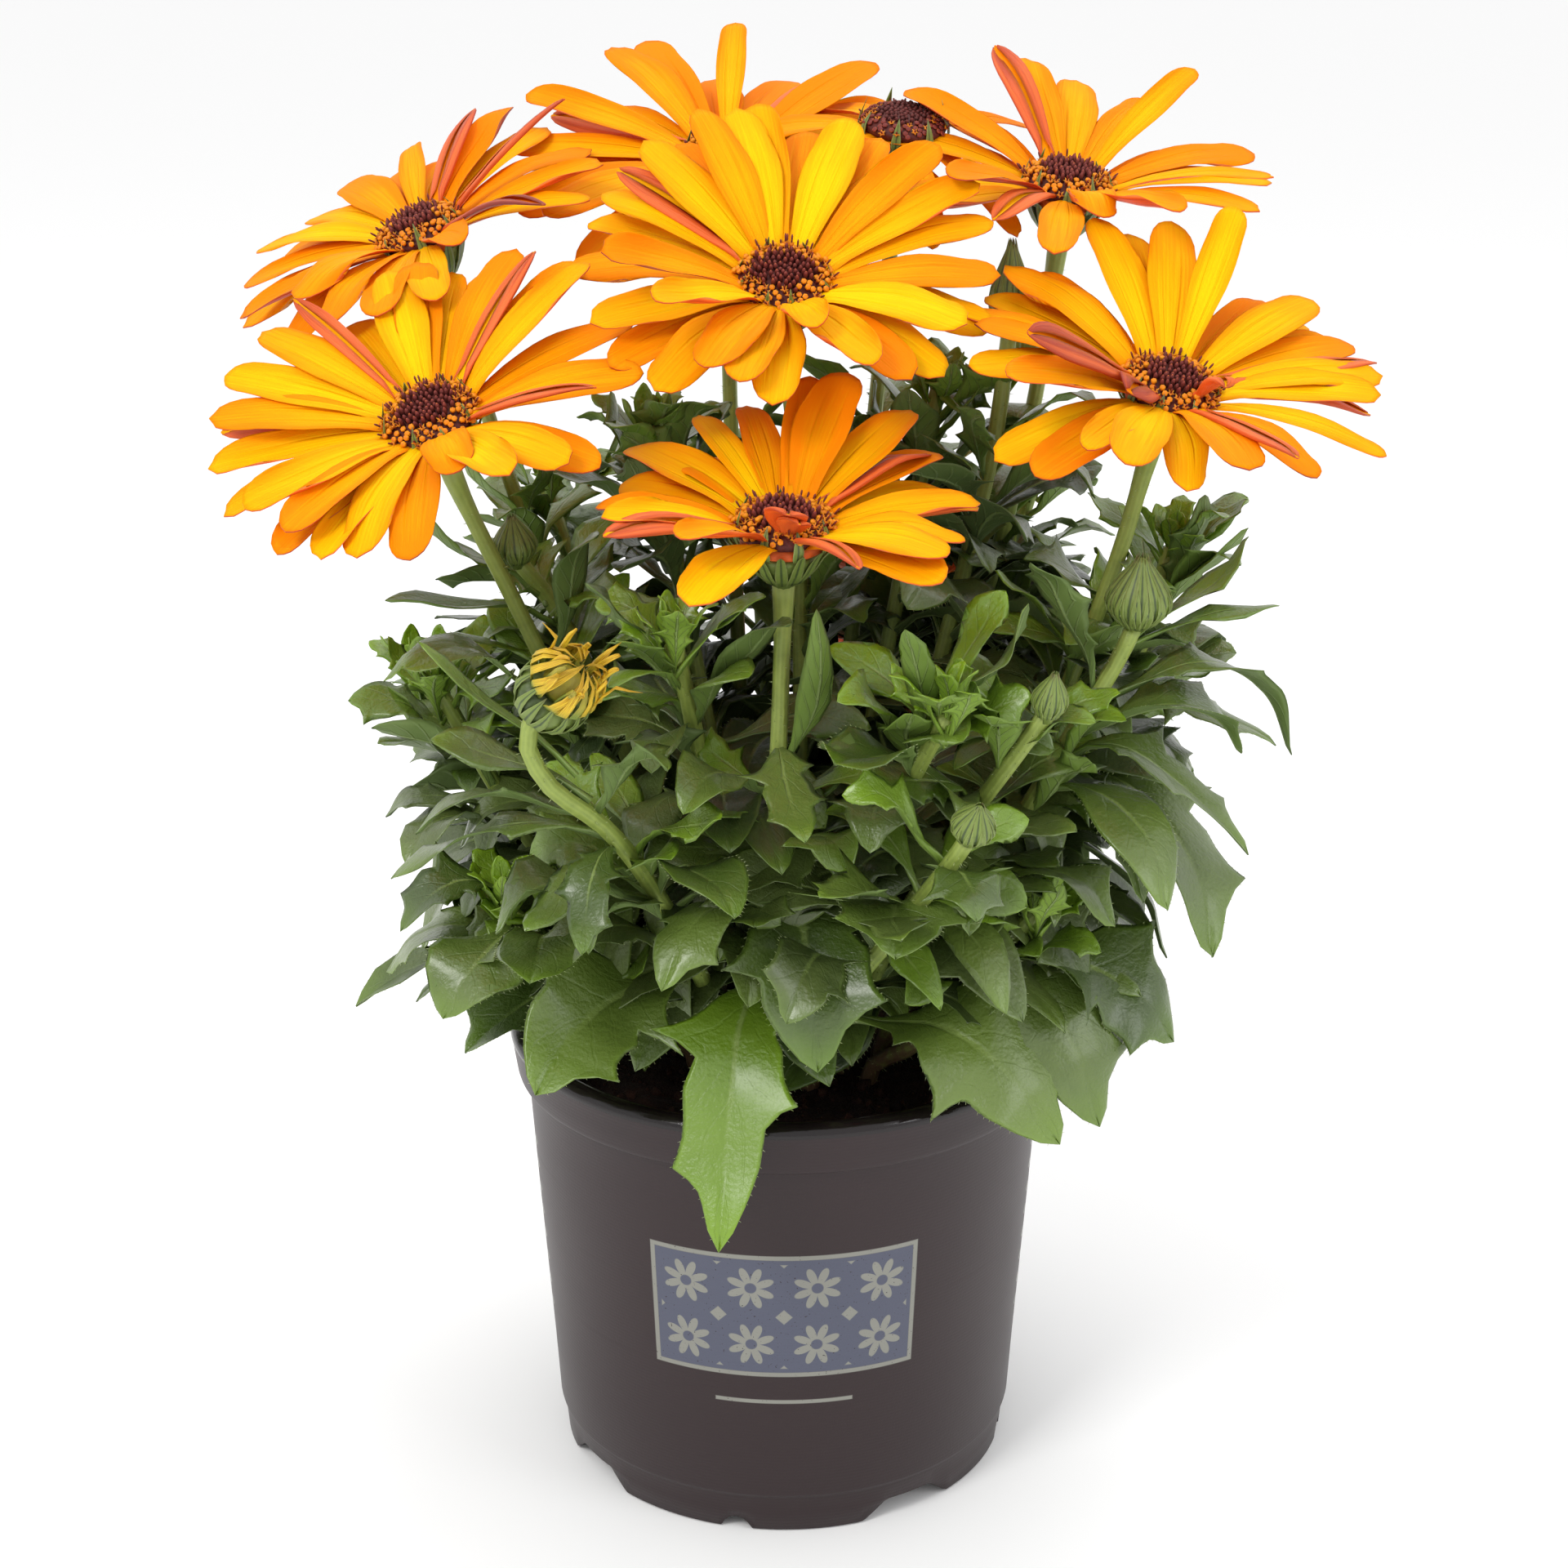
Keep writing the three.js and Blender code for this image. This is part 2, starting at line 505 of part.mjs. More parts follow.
/** The thin-walled pot: tapered wall, standing collar with a rolled lip, four feet, drain holes. */
function potSolid() {
  const { wall } = POT;
  const shell = turned([
    [0, POT.floorUnder], [FEET.bandInner, POT.floorUnder], [FEET.bandInner, 0], [POT.foot, 0],
    [POT.footRing, POT.wallFootTop - 0.4], [POT.wallFoot, POT.wallFootTop],
    [POT.wallTop, POT.collarBottom], [POT.collarFoot, POT.collarBottom - 0.3],
    [POT.rim, POT.rimTop], [POT.rim - 0.6, POT.lipTop - 0.7], [POT.lipCrest, POT.lipTop],
    [POT.lipInner, POT.lipTop - 0.5], [POT.wallTop - wall, POT.collarBottom],
    [POT.wallFoot - wall, POT.floorTop], [0, POT.floorTop],
  ], POT.sides, point([0, 0, 0]), upright);
  const cuts = [];
  const through = POT.foot + 4;
  for (let i = 0; i < FEET.count; i += 1) {
    const angle = FEET.firstNotch + (360 / FEET.count) * i;
    const half = (degrees) => through * Math.tan(rad(degrees / 2));
    const notch = new THREE.Shape([
      new THREE.Vector2(-half(FEET.notchWide), -1), new THREE.Vector2(half(FEET.notchWide), -1),
      new THREE.Vector2(half(FEET.notchNarrow), FEET.notchHigh - 0.2),
      new THREE.Vector2(-half(FEET.notchNarrow), FEET.notchHigh - 0.2),
    ]);
    cuts.push(footCut(notch, angle, through));
    const round = new THREE.Shape().absarc(0, 0, FEET.halfRound, 0, Math.PI * 2);
    cuts.push(footCut(round, angle - 180 / FEET.count, through, 3));
  }
  for (let i = 0; i < FEET.drains; i += 1) {
    const angle = rad((360 / FEET.drains) * i);
    const drain = new THREE.CylinderGeometry(FEET.drainRadius, FEET.drainRadius, 6, 6);
    drain.rotateX(Math.PI / 2);
    drain.translate(FEET.drainRing * Math.sin(angle), -FEET.drainRing * Math.cos(angle), POT.floorTop);
    cuts.push(solidOf(drain));
  }
  return cuts.reduce((pot, cut) => pot.subtract(cut), shell);
}

/** A prism of a shape drawn on the pot's side, cut in from outside at an angle from the front. */
function footCut(shape, angle, outer, curveSegments = 1) {
  const depth = outer - FEET.bandInner + 1;
  const prism = new THREE.ExtrudeGeometry(shape, { depth, bevelEnabled: false, steps: 1, curveSegments });
  prism.rotateX(Math.PI / 2);
  prism.translate(0, -(FEET.bandInner - 1), 0);
  prism.rotateZ(rad(angle));
  return solidOf(prism);
}

/** The peat that fills the pot, level round the stems and lower at the rim, with a hole for each stem. */
function soilSolid() {
  const fill = turned([
    [0, POT.floorTop + GAP], [SOIL.footEdge, POT.floorTop + GAP], [SOIL.edge, SOIL.edgeTop],
    [SOIL.flat, SOIL.top], [0, SOIL.top],
  ], SOIL.sides, point([0, 0, 0]), upright);
  return Object.values(curves).reduce((soil, curve) => soil.subtract(holeSolid(curve)), fill);
}

/** The path of a stem from the soil through its points to its end, under the cup or the bud. */
function stemCurve(name) {
  const stem = STEMS[name];
  const points = [];
  const [[x, y], ...rest] = stem.via;
  points.push(point([x, y, STEM.sunk]), point([x, y, SOIL.top + 2]), ...rest.map(point));
  if (BLOOMS[name]) {
    const bloom = BLOOMS[name];
    const { N } = facing(bloom.heading, bloom.rise);
    points.push(point(bloom.at).addScaledVector(N, -CUP.bottom - 5));
    points.push(point(bloom.at).addScaledVector(N, -CUP.bottom + 1));
  } else {
    points.push(point(stem.end));
  }
  return new THREE.CatmullRomCurve3(points, false, 'centripetal');
}

const tubeSteps = (curve) => Math.ceil(curve.getLength() / STEM.step);

/** The point of a stem's tube at a height, on the straight stretch that spans it. */
function stemAt(curve, height) {
  const points = curve.getSpacedPoints(tubeSteps(curve));
  const above = points.findIndex(({ z }) => z >= height);
  const [from, to] = points.slice(Math.max(above, 1) - 1);
  return from.clone().lerp(to, (height - from.z) / (to.z - from.z));
}

/** A tube of constant section along a path: a stem, or the hole it stands in. */
function tubeSolid(path, radius, steps) {
  const section = new THREE.Shape();
  for (let i = 0; i < STEM.sides; i += 1) {
    const angle = (Math.PI * 2 * i) / STEM.sides;
    section[i ? 'lineTo' : 'moveTo'](radius * Math.cos(angle), radius * Math.sin(angle));
  }
  return solidOf(new THREE.ExtrudeGeometry(section, { steps, extrudePath: path, bevelEnabled: false }));
}

/** The hole in the soil round the first length of a stem's tube. */
function holeSolid(curve) {
  const foot = curve.getPointAt(0);
  const above = curve.getPointAt(1 / tubeSteps(curve));
  const sunk = above.clone().sub(foot).setLength(4 * GAP);
  return tubeSolid(new THREE.LineCurve3(foot.sub(sunk), above), STEM.hole, 1);
}

/** The green cup under a bloom. */
function cupSolid(bloom) {
  const frame = facing(bloom.heading, bloom.rise);
  return turned([
    [0, -CUP.bottom], [STEM.stalk + 0.3, -CUP.bottom], [3.6, -CUP.bottom + 2], [5.6, -4.6],
    [CUP.rim, -CUP.top], [0, -CUP.top],
  ], CUP.sides, point(bloom.at), frame);
}

/** A shut bud: a turned onion with a drawn-out tip on its stem's end. */
function budSolid({ long, wide, heading, rise, sides }, end) {
  return turned([
    [0, -1.5], [1.3, -1], [wide, long * 0.3], [wide * 0.8, long * 0.58], [wide * 0.26, long * 0.84],
    [0, long],
  ], sides, end, facing(heading, rise));
}

/** The disc: a shallow dome whose rings of florets stand up from it in turn. */
function discSolid(bloom) {
  const { N, E1, E2 } = facing(bloom.heading, bloom.rise);
  const at = point(bloom.at);
  const place = (radius, height, angle) => at.clone().addScaledVector(N, height)
    .addScaledVector(E1, radius * Math.cos(angle)).addScaledVector(E2, radius * Math.sin(angle));
  const rows = [[DISC.base, DISC.under, 0], [DISC.radius, DISC.shoulder, 0.7],
    [DISC.radius * 0.66, DISC.crown - 0.9, 0.7], [DISC.radius * 0.33, DISC.crown - 0.1, 0.5]];
  const points = [];
  rows.forEach(([radius, height, bump], row) => {
    for (let i = 0; i < DISC.columns; i += 1) {
      const raised = (i + row) % 2 ? bump : 0;
      points.push(place(radius + (row === 1 ? raised : 0), height + raised,
        (Math.PI * 2 * i) / DISC.columns));
    }
  });
  const [under, crown] = [points.length, points.length + 1];
  points.push(place(0, DISC.under, 0), place(0, DISC.crown - 0.3, 0));
  const triangles = [];
  const n = DISC.columns;
  for (let i = 0; i < n; i += 1) {
    const next = (i + 1) % n;
    triangles.push(under, next, i, crown, 3 * n + i, 3 * n + next);
    for (let row = 0; row < 3; row += 1) {
      const [a, b, c, d] = [row * n + i, row * n + next, (row + 1) * n + next, (row + 1) * n + i];
      triangles.push(...((i + row) % 2 ? [a, b, d, b, c, d] : [a, b, c, a, c, d]));
    }
  }
  return solidOf(meshOf(points, triangles));
}

/** The collar that carries a bloom's petals, between the cup and the disc. */
function collarSolid(bloom) {
  return turned([
    [0, COLLAR.under], [COLLAR.radius, COLLAR.under], [COLLAR.radius - 0.3, COLLAR.top],
    [0, COLLAR.top],
  ], COLLAR.sides, point(bloom.at), facing(bloom.heading, bloom.rise));
}

/** The ray petals of a bloom on their collar. */
function raysSolid(node, bloom) {
  const frame = facing(bloom.heading, bloom.rise);
  const at = point(bloom.at);
  const petals = bloom.petals.map(([angle, lift, length = bloom.length, width = bloom.width, roll = 0]) => {
    const bladeWith = (stations) => (turn, rise) => petalBlade(at, frame,
      [angle + turn, lift + rise, length, width, roll], PETAL.root, stations);
    return settle(node, PETAL_BENDS, bladeWith(PETAL.stations), bladeWith(PETAL.free));
  });
  return joined([collarSolid(bloom), ...petals.filter(Boolean)]);
}

/** The half-open yellow bud's strap rays, curled over its middle. */
function yellowRaysSolid(node) {
  const { at, heading, rise, rays, root, long, wide, lift } = YELLOW_BUD;
  const frame = facing(heading, rise);
  const place = point(at);
  const core = stand(node, turned([[0, 0.4], [4, 0.4], [4.6, 2], [3, 5], [0, 6]], 8, place, frame));
  const rooted = place.clone().addScaledVector(frame.N, 1.8);
  const draw = draws(77);
  const straps = [];
  for (let i = 0; i < rays; i += 1) {
    const petal = [(360 / rays) * i + 14 * draw(), lift + 26 * draw(), long + 4 * draw(), wide, 60 * draw()];
    straps.push(settle(node, PETAL_BENDS, (turn, up) => petalBlade(rooted, frame,
      [petal[0] + turn, petal[1] + up, ...petal.slice(2)], root, PETAL.stations)));
  }
  return joined([core, ...straps.filter(Boolean)]);
}

/** A leaf from a stem's path, bent clear of other nodes, or null where there is no room. */
function settledLeaf(node, curve, [height, tip, width, arch, roll, edge]) {
  const root = stemAt(curve, height);
  const span = point(tip).sub(root);
  const bladeWith = (stations) => (yaw, rise) => {
    const bent = span.clone().applyAxisAngle(UP, rad(yaw)).add(root);
    bent.z += rise;
    return leafBlade(root, bent, width, arch + Math.abs(rise) * 0.3, roll, edge, stations);
  };
  return settle(node, BENDS, bladeWith(EDGES[edge].stations), bladeWith(LEAF.free));
}

/** Leaves of the spiral rule: each a turn further round and smaller and steeper than the last. */
function sprayLeaves(name, curve) {
  const { spray, leafTop } = STEMS[name];
  const draw = draws([...name].reduce((sum, letter) => sum * 31 + letter.charCodeAt(0), 7) % 65521);
  const leaves = [];
  for (let i = 0; i < spray; i += 1) {
    const share = (i + 0.5) / spray;
    const height = lerp(SPRAY.first, leafTop, share ** 0.8);
    const root = stemAt(curve, height);
    const rank = THREE.MathUtils.clamp(1 - (leafTop - height) / 60, 0, 1);
    const outward = (Math.atan2(root.y, root.x) * 180) / Math.PI;
    const spiral = (SPRAY.turn * i) % 360;
    const around = outward + (spiral > 180 ? spiral - 360 : spiral) * (0.55 + 0.4 * rank);
    const heading = rad(around + 30 * (draw() - 0.5));
    const long = lerp(...SPRAY.long, rank) * (0.88 + 0.24 * draw());
    const rise = rad(lerp(...SPRAY.rise, rank) + 24 * (draw() - 0.5));
    const tip = [root.x + long * Math.cos(heading) * Math.cos(rise),
      root.y + long * Math.sin(heading) * Math.cos(rise), root.z + long * Math.sin(rise)];
    const width = lerp(...SPRAY.wide, rank) * (0.85 + 0.3 * draw());
    const edge = rank > 0.85 ? 'young' : ['lobedA', 'entire', 'lobedB', 'entire'][i % 4];
    leaves.push([height, tip, width, long * lerp(...SPRAY.arch, rank), 40 * (draw() - 0.5), edge]);
  }
  return leaves;
}

// ---------------------------------------------------------------- assembly

const curves = Object.fromEntries(Object.keys(STEMS).map((name) => [name, stemCurve(name)]));
addMesh('pot', stand('pot', potSolid()), COLOUR.pot, 0.45);
addMesh('soil', stand('soil', soilSolid()), COLOUR.soil, 0.95);

const stemBodies = Object.fromEntries(Object.keys(STEMS).map((name) => {
  const node = `stem_${name}`;
  const bodies = [stand(node,
    tubeSolid(curves[name], BLOOMS[name] ? STEM.stalk : STEM.radius, tubeSteps(curves[name])))];
  if (BLOOMS[name]) bodies.push(stand(node, cupSolid(BLOOMS[name])));
  if (BUDS[name]) bodies.push(stand(node, budSolid(BUDS[name], point(STEMS[name].end))));
  return [name, bodies];
}));
const yellowCup = turned([[0, -7.5], [1.9, -7.5], [5, -4.5], [6, -1.4], [5.2, 0.1], [0, 0.1]], 9,
  point(YELLOW_BUD.at), facing(YELLOW_BUD.heading, YELLOW_BUD.rise));
stemBodies.bud_yellow.push(stand('stem_bud_yellow', yellowCup));

for (const [name, bloom] of Object.entries(BLOOMS)) {
  addMesh(`disc_${name}`, stand(`disc_${name}`, discSolid(bloom)), COLOUR.disc, 0.8);
  stand(`rays_${name}`, collarSolid(bloom));
}
for (const [name, bloom] of Object.entries(BLOOMS)) {
  addMesh(`rays_${name}`, raysSolid(`rays_${name}`, bloom), COLOUR.rays, 0.55);
}
addMesh('rays_bud_yellow', yellowRaysSolid('rays_bud_yellow'), COLOUR.yellow, 0.6);

for (const name of Object.keys(STEMS)) {
  for (const leaf of STEMS[name].leaves ?? []) {
    const solid = settledLeaf(`stem_${name}`, curves[name], leaf);
    if (solid) stemBodies[name].push(solid);
  }
}
for (const name of Object.keys(STEMS)) {
  for (const leaf of sprayLeaves(name, curves[name])) {
    const solid = settledLeaf(`stem_${name}`, curves[name], leaf);
    if (solid) stemBodies[name].push(solid);
  }
  addMesh(`stem_${name}`, joined(stemBodies[name]), COLOUR.leaf, 0.6);
}

export default plant;
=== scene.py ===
"""Finished surfaces for an osteospermum in its nursery pot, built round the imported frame.

Lengths are millimetres until a mesh is written, which is in metres. +Z is up and -Y is the front.
"""

import logging
import math
from dataclasses import dataclass, replace
from enum import Enum, IntEnum
from functools import cached_property, partialmethod, reduce
from typing import Iterator, Sequence

import bpy
import numpy as np
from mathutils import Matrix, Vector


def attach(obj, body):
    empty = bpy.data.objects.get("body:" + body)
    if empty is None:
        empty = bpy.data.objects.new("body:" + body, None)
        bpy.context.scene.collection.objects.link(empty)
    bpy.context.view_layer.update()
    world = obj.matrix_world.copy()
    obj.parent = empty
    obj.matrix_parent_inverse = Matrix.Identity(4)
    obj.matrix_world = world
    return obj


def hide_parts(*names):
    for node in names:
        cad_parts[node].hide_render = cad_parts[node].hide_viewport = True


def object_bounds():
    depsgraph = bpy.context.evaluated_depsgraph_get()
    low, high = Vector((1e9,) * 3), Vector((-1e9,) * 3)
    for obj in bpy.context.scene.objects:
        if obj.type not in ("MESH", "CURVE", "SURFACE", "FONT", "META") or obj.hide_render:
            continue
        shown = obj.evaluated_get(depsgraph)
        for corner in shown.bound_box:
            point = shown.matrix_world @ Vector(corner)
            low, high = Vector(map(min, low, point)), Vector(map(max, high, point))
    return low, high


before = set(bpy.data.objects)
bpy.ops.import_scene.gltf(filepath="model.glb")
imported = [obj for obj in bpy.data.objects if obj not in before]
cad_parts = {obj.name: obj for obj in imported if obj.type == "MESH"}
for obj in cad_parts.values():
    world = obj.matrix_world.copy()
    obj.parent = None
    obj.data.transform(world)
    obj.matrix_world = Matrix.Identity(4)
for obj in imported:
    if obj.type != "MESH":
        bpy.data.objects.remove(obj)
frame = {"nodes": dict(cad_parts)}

log = logging.getLogger("osteospermum")

MM = 0.001
UP = np.array([0.0, 0.0, 1.0])
GOLDEN_TURN = 137.5
Row = Sequence[float]
Cell = np.ndarray
Material = bpy.types.Material
Object = bpy.types.Object

CAD_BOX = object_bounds()
LOW, HIGH = (np.array(corner, float) / MM for corner in CAD_BOX)
# How far every piece stays inside the frame's box.
INSET = 0.02


# ---- sums and curves


def smooth(x: Cell | float) -> Cell:
    """The soft step t * t * (3 - 2 t), with t held between 0 and 1."""
    t = np.clip(x, 0.0, 1.0)
    return t * t * (3.0 - 2.0 * t)


def unit(v: Cell) -> Cell:
    """Vectors along the last axis brought to length 1."""
    return v / np.maximum(np.linalg.norm(v, axis=-1, keepdims=True), 1e-9)


def lerp(a: float, b: float, t: float) -> float:
    """The value a share t of the way from a to b."""
    return (1.0 - t) * a + t * b


def circle(count: int) -> Cell:
    """Even angles all the way round, in radians."""
    return np.linspace(0, 2 * np.pi, count + 1)[:-1]


def aim(heading: float, rise: float) -> Cell:
    """The unit way at a heading round from +X and a rise above the level, in radians."""
    return np.array([math.cos(heading) * math.cos(rise), math.sin(heading) * math.cos(rise), math.sin(rise)])


def sum_of(name: str) -> int:
    """The sum of a name's letters, which seeds its draws."""
    return sum(map(ord, name))


def hash_of(name: str) -> float:
    """The number that seeds a stem's spray: from 7, 31 times what stood before plus each letter."""
    return math.fmod(reduce(lambda total, letter: total * 31 + ord(letter), name, 7.0), 65521)


def draws(seed: float) -> Iterator[float]:
    """The stream of draws that set the solids out: a counter mixed by shifts and products.

    Args:
        seed: Where the counter starts.

    Yields:
        Even draws between 0 and 1.
    """
    whole = 0xFFFFFFFF
    state = int(seed) & whole
    while True:
        state = (state + 0x6D2B79F5) & whole
        mixed = ((state ^ (state >> 15)) * (1 | state)) & whole
        mixed = ((mixed + (((mixed ^ (mixed >> 7)) * (61 | mixed)) & whole)) & whole) ^ mixed
        yield (mixed ^ (mixed >> 14)) / (whole + 1)


def bezier(root: Cell, middle: Cell, tip: Cell, t: Cell) -> Cell:
    """Points (1 - t)^2 root + 2 t (1 - t) middle + t^2 tip."""
    t = t[..., None]
    return (1 - t) ** 2 * root + 2 * t * (1 - t) * middle + t**2 * tip


def bezier_way(root: Cell, middle: Cell, tip: Cell, t: Cell) -> Cell:
    """Unit tangents of the same curve, along 2 (1 - t)(middle - root) + 2 t (tip - middle)."""
    t = t[..., None]
    return unit(2 * (1 - t) * (middle - root) + 2 * t * (tip - middle))


@dataclass(frozen=True)
class Seat:
    """Where a bloom or bud stands, and its ways: out of its face, level to its side, up its face."""

    at: Cell
    out: Cell
    side: Cell
    up: Cell

    @classmethod
    def of(cls, at: Row, heading: float, rise: float) -> "Seat":
        """Makes a seat.

        Args:
            at: Its place.
            heading: The heading it faces, in degrees from the front.
            rise: Its rise above the level, in degrees.

        Returns:
            The seat.
        """
        out = aim(math.radians(heading - 90), math.radians(rise))
        side = unit(np.cross(UP, out))
        return cls(np.array(at, float), out, side, np.cross(out, side))

    def spoke(self, angle: Cell) -> Cell:
        """Unit ways square to the axis, at angles round it."""
        return np.cos(angle)[..., None] * self.side + np.sin(angle)[..., None] * self.up

    def place(self, radius: Cell, height: Cell, angle: Cell) -> Cell:
        """Points at a radius and angle round the axis and a height along it."""
        return self.at + radius[..., None] * self.spoke(angle) + height[..., None] * self.out


class Path:
    """A smooth path through points, by centripetal Catmull-Rom, measured by its own length."""

    DIVISIONS = 200

    def __init__(self, points: Sequence[Row]) -> None:
        """Keeps the points with one added beyond each end, and measures the path.

        Args:
            points: The points.
        """
        given = np.array(points, float)
        self.knots = np.vstack([2 * given[0] - given[1], given, 2 * given[-1] - given[-2]])
        self.marks = np.linspace(0.0, 1.0, self.DIVISIONS + 1)
        steps = np.linalg.norm(np.diff(self.at(self.marks), axis=0), axis=1)
        self.lengths = np.concatenate([[0.0], np.cumsum(steps)])
        self.length = float(self.lengths[-1])

    def at(self, t: Cell) -> Cell:
        """Points on the path: a cubic c0 + c1 w + c2 w^2 + c3 w^3 between each two knots.

        Args:
            t: Parameters from 0 to 1.

        Returns:
            A point for each.
        """
        spans = len(self.knots) - 3
        place = np.clip(t, 0, 1) * spans
        first = np.minimum(place.astype(int), spans - 1)
        w = (place - first)[..., None]
        a, b, c, d = (self.knots[first + i] for i in range(4))
        gap = [np.sum((q - p) ** 2, -1, keepdims=True) ** 0.25 for p, q in ((a, b), (b, c), (c, d))]
        near = ((b - a) / gap[0] - (c - a) / (gap[0] + gap[1]) + (c - b) / gap[1]) * gap[1]
        far = ((c - b) / gap[1] - (d - b) / (gap[1] + gap[2]) + (d - c) / gap[2]) * gap[1]
        return b + near * w + (3 * (c - b) - 2 * near - far) * w**2 + (2 * (b - c) + near + far) * w**3

    def at_length(self, share: Cell) -> Cell:
        """Points at shares of the path's length."""
        return self.at(np.interp(share * self.length, self.lengths, self.marks))


# ---- meshes


def band(rows: int, columns: int) -> tuple[Cell, Cell, Cell]:
    """Four-cornered faces between rings that are closed round: corner = ring * columns + column.

    Args:
        rows: How many rings there are.
        columns: How many corners a ring has.

    Returns:
        The faces by ring and column, and the ring and the column of each of their corners, where
        the column after the last still has its own number.
    """
    i, j = np.meshgrid(np.arange(rows - 1), np.arange(columns), indexing="ij")
    ring, column = np.stack([i, i, i + 1, i + 1], -1), np.stack([j, j + 1, j + 1, j], -1)
    return ring * columns + column % columns, ring, column


@dataclass(frozen=True)
class Shape:
    """A small shape that is set many times: its points, its faces, and its ages by point or by copy."""

    points: Cell
    faces: Cell
    ages: Cell | float

    @classmethod
    def turned(cls, rings: Sequence[Row], sides: int, ripe: float = 1.0) -> "Shape":
        """Turns a shape.

        Args:
            rings: Radius, height and age of each ring, and of the point that closes the last one.
            sides: How many sides it has.
            ripe: What the ages are multiplied by.

        Returns:
            The shape.
        """
        a = circle(sides)
        *rings, (_, top, age) = rings
        count, none = len(rings), np.full(sides, -1)
        points = [np.column_stack([r * np.cos(a), r * np.sin(a), np.full(sides, h)]) for r, h, _ in rings]
        last = (count - 1) * sides + np.arange(sides)
        lid = np.column_stack([last, np.roll(last, -1), none * 0 + count * sides, none])
        faces = np.vstack([band(count, sides)[0].reshape(-1, 4), lid])
        ages = np.append(np.repeat([ring[2] for ring in rings], sides), age) * ripe
        return cls(np.vstack([*points, [0, 0, top]]), faces, ages)


class Skin:
    """A mesh under way, made of grids whose corners carry UVs, an age and a chance value.

    Faces are rows of four corners, the last -1 in a triangle.
    """

    def __init__(self) -> None:
        """Starts an empty mesh."""
        self.parts: list[tuple[Cell, ...]] = []
        self.count = 0

    def put(self, points: Cell, faces: Cell, uvs: Cell, marks: Cell | Row, finish: Cell | int) -> None:
        """Adds points and faces.

        Args:
            points: Points, one a row.
            faces: The faces.
            uvs: A UV for each corner of each face.
            marks: Age and chance, one pair for all or one a point.
            finish: The finish's number, one for all or one a face.
        """
        self.parts.append((points, np.where(faces < 0, -1, faces + self.count), uvs,
                           np.broadcast_to(marks, (len(points), 2)), np.broadcast_to(finish, len(faces))))
        self.count += len(points)

    def loft(self, rings: Cell, finish: int = 0, marks: Row = (0.5, 0.5)) -> None:
        """Adds a tube of rings, closed round, and closed at its ends by fans.

        Args:
            rings: Points as rings, columns and coordinates. Columns run left round seen from the far end.
            finish: The finish's number.
            marks: Age and chance.
        """
        rows, columns, _ = rings.shape
        v = np.linspace(0, 1, rows)
        faces, ring, column = band(rows, columns)
        faces, points = [faces.reshape(-1, 4)], rings.reshape(-1, 3)
        uvs = [np.stack([column / columns, v[ring]], -1).reshape(-1, 4, 2)]
        j = np.arange(columns)
        for end in (0, rows - 1):
            a, b = end * columns + j, end * columns + (j + 1) % columns
            hub = np.full(columns, len(points))
            faces.append(np.column_stack([hub, a, b, hub * 0 - 1] if end else [hub, b, a, hub * 0 - 1]))
            across = np.stack([j + 0.5, j, j + 1, j * 0], -1) / columns
            uvs.append(np.stack([across, np.full_like(across, v[end])], -1))
            points = np.vstack([points, rings[end].mean(0)])
        self.put(points, np.vstack(faces), np.concatenate(uvs), marks, finish)

    def turn(self, seat: Seat, profile: Sequence[Row], sides: int, finish: int, marks: Row,
             ribs: int = 0, depth: float = 0.0) -> None:
        """Adds a ribbed body: radius times 1 + depth cos(ribs a) at each ring of the profile.

        Args:
            seat: Where it stands.
            profile: Radius and height of each ring.
            sides: How many sides it has.
            finish: The finish's number.
            marks: Age and chance.
            ribs: How many ribs it has.
            depth: How deep they are, as a share of the radius.
        """
        a = circle(sides)
        radius, height = np.array(profile, float).T[..., None]
        self.loft(seat.place(radius * (1 + depth * np.cos(ribs * a)), height, a), finish, marks)

    def blade(self, top: Cell, under: Cell, u: Cell, v: Cell, finish: tuple[int, int], marks: Row) -> None:
        """Adds a thin closed blade from its two faces, which share their outer columns.

        Args:
            top: The upper face as stations, columns and coordinates, from left to right.
            under: The lower face on the same stations and columns.
            u: The columns' place across, from -1 to 1.
            v: The stations' place along, from 0 to 1.
            finish: The numbers of the finish of the upper and the lower face.
            marks: Age and chance.
        """
        rows, k, _ = top.shape
        columns = 2 * k - 2
        across = (np.concatenate([u, u[-2:0:-1]]) + 1) / 2
        faces, ring, column = band(rows, columns)
        uvs = np.stack([across[column % columns], v[ring]], -1)
        shown = np.where(column[..., 0] < k - 1, *finish)
        below = -np.arange(k) % columns
        j = np.arange(1, k - 2)
        quads = np.stack([j, j + 1, below[j + 1], below[j]], -1)
        ends = np.array([[0, 1, below[1], -1], [k - 2, k - 1, below[k - 2], -1]])
        near, far = np.vstack([quads[:, ::-1], ends[:, [2, 1, 0, 3]]]), np.vstack([quads, ends])
        lids = np.vstack([near, np.where(far < 0, -1, far + (rows - 1) * columns)])
        lid_uvs = np.full((len(lids), 4, 2), 0.5)
        lid_uvs[..., 1] = np.repeat(v[[0, -1]], len(near))[:, None]
        self.put(np.concatenate([top, under[:, -2:0:-1]], 1).reshape(-1, 3),
                 np.vstack([faces.reshape(-1, 4), lids]), np.concatenate([uvs.reshape(-1, 4, 2), lid_uvs]),
                 marks, np.concatenate([shown.ravel(), np.full(len(lids), finish[1])]))

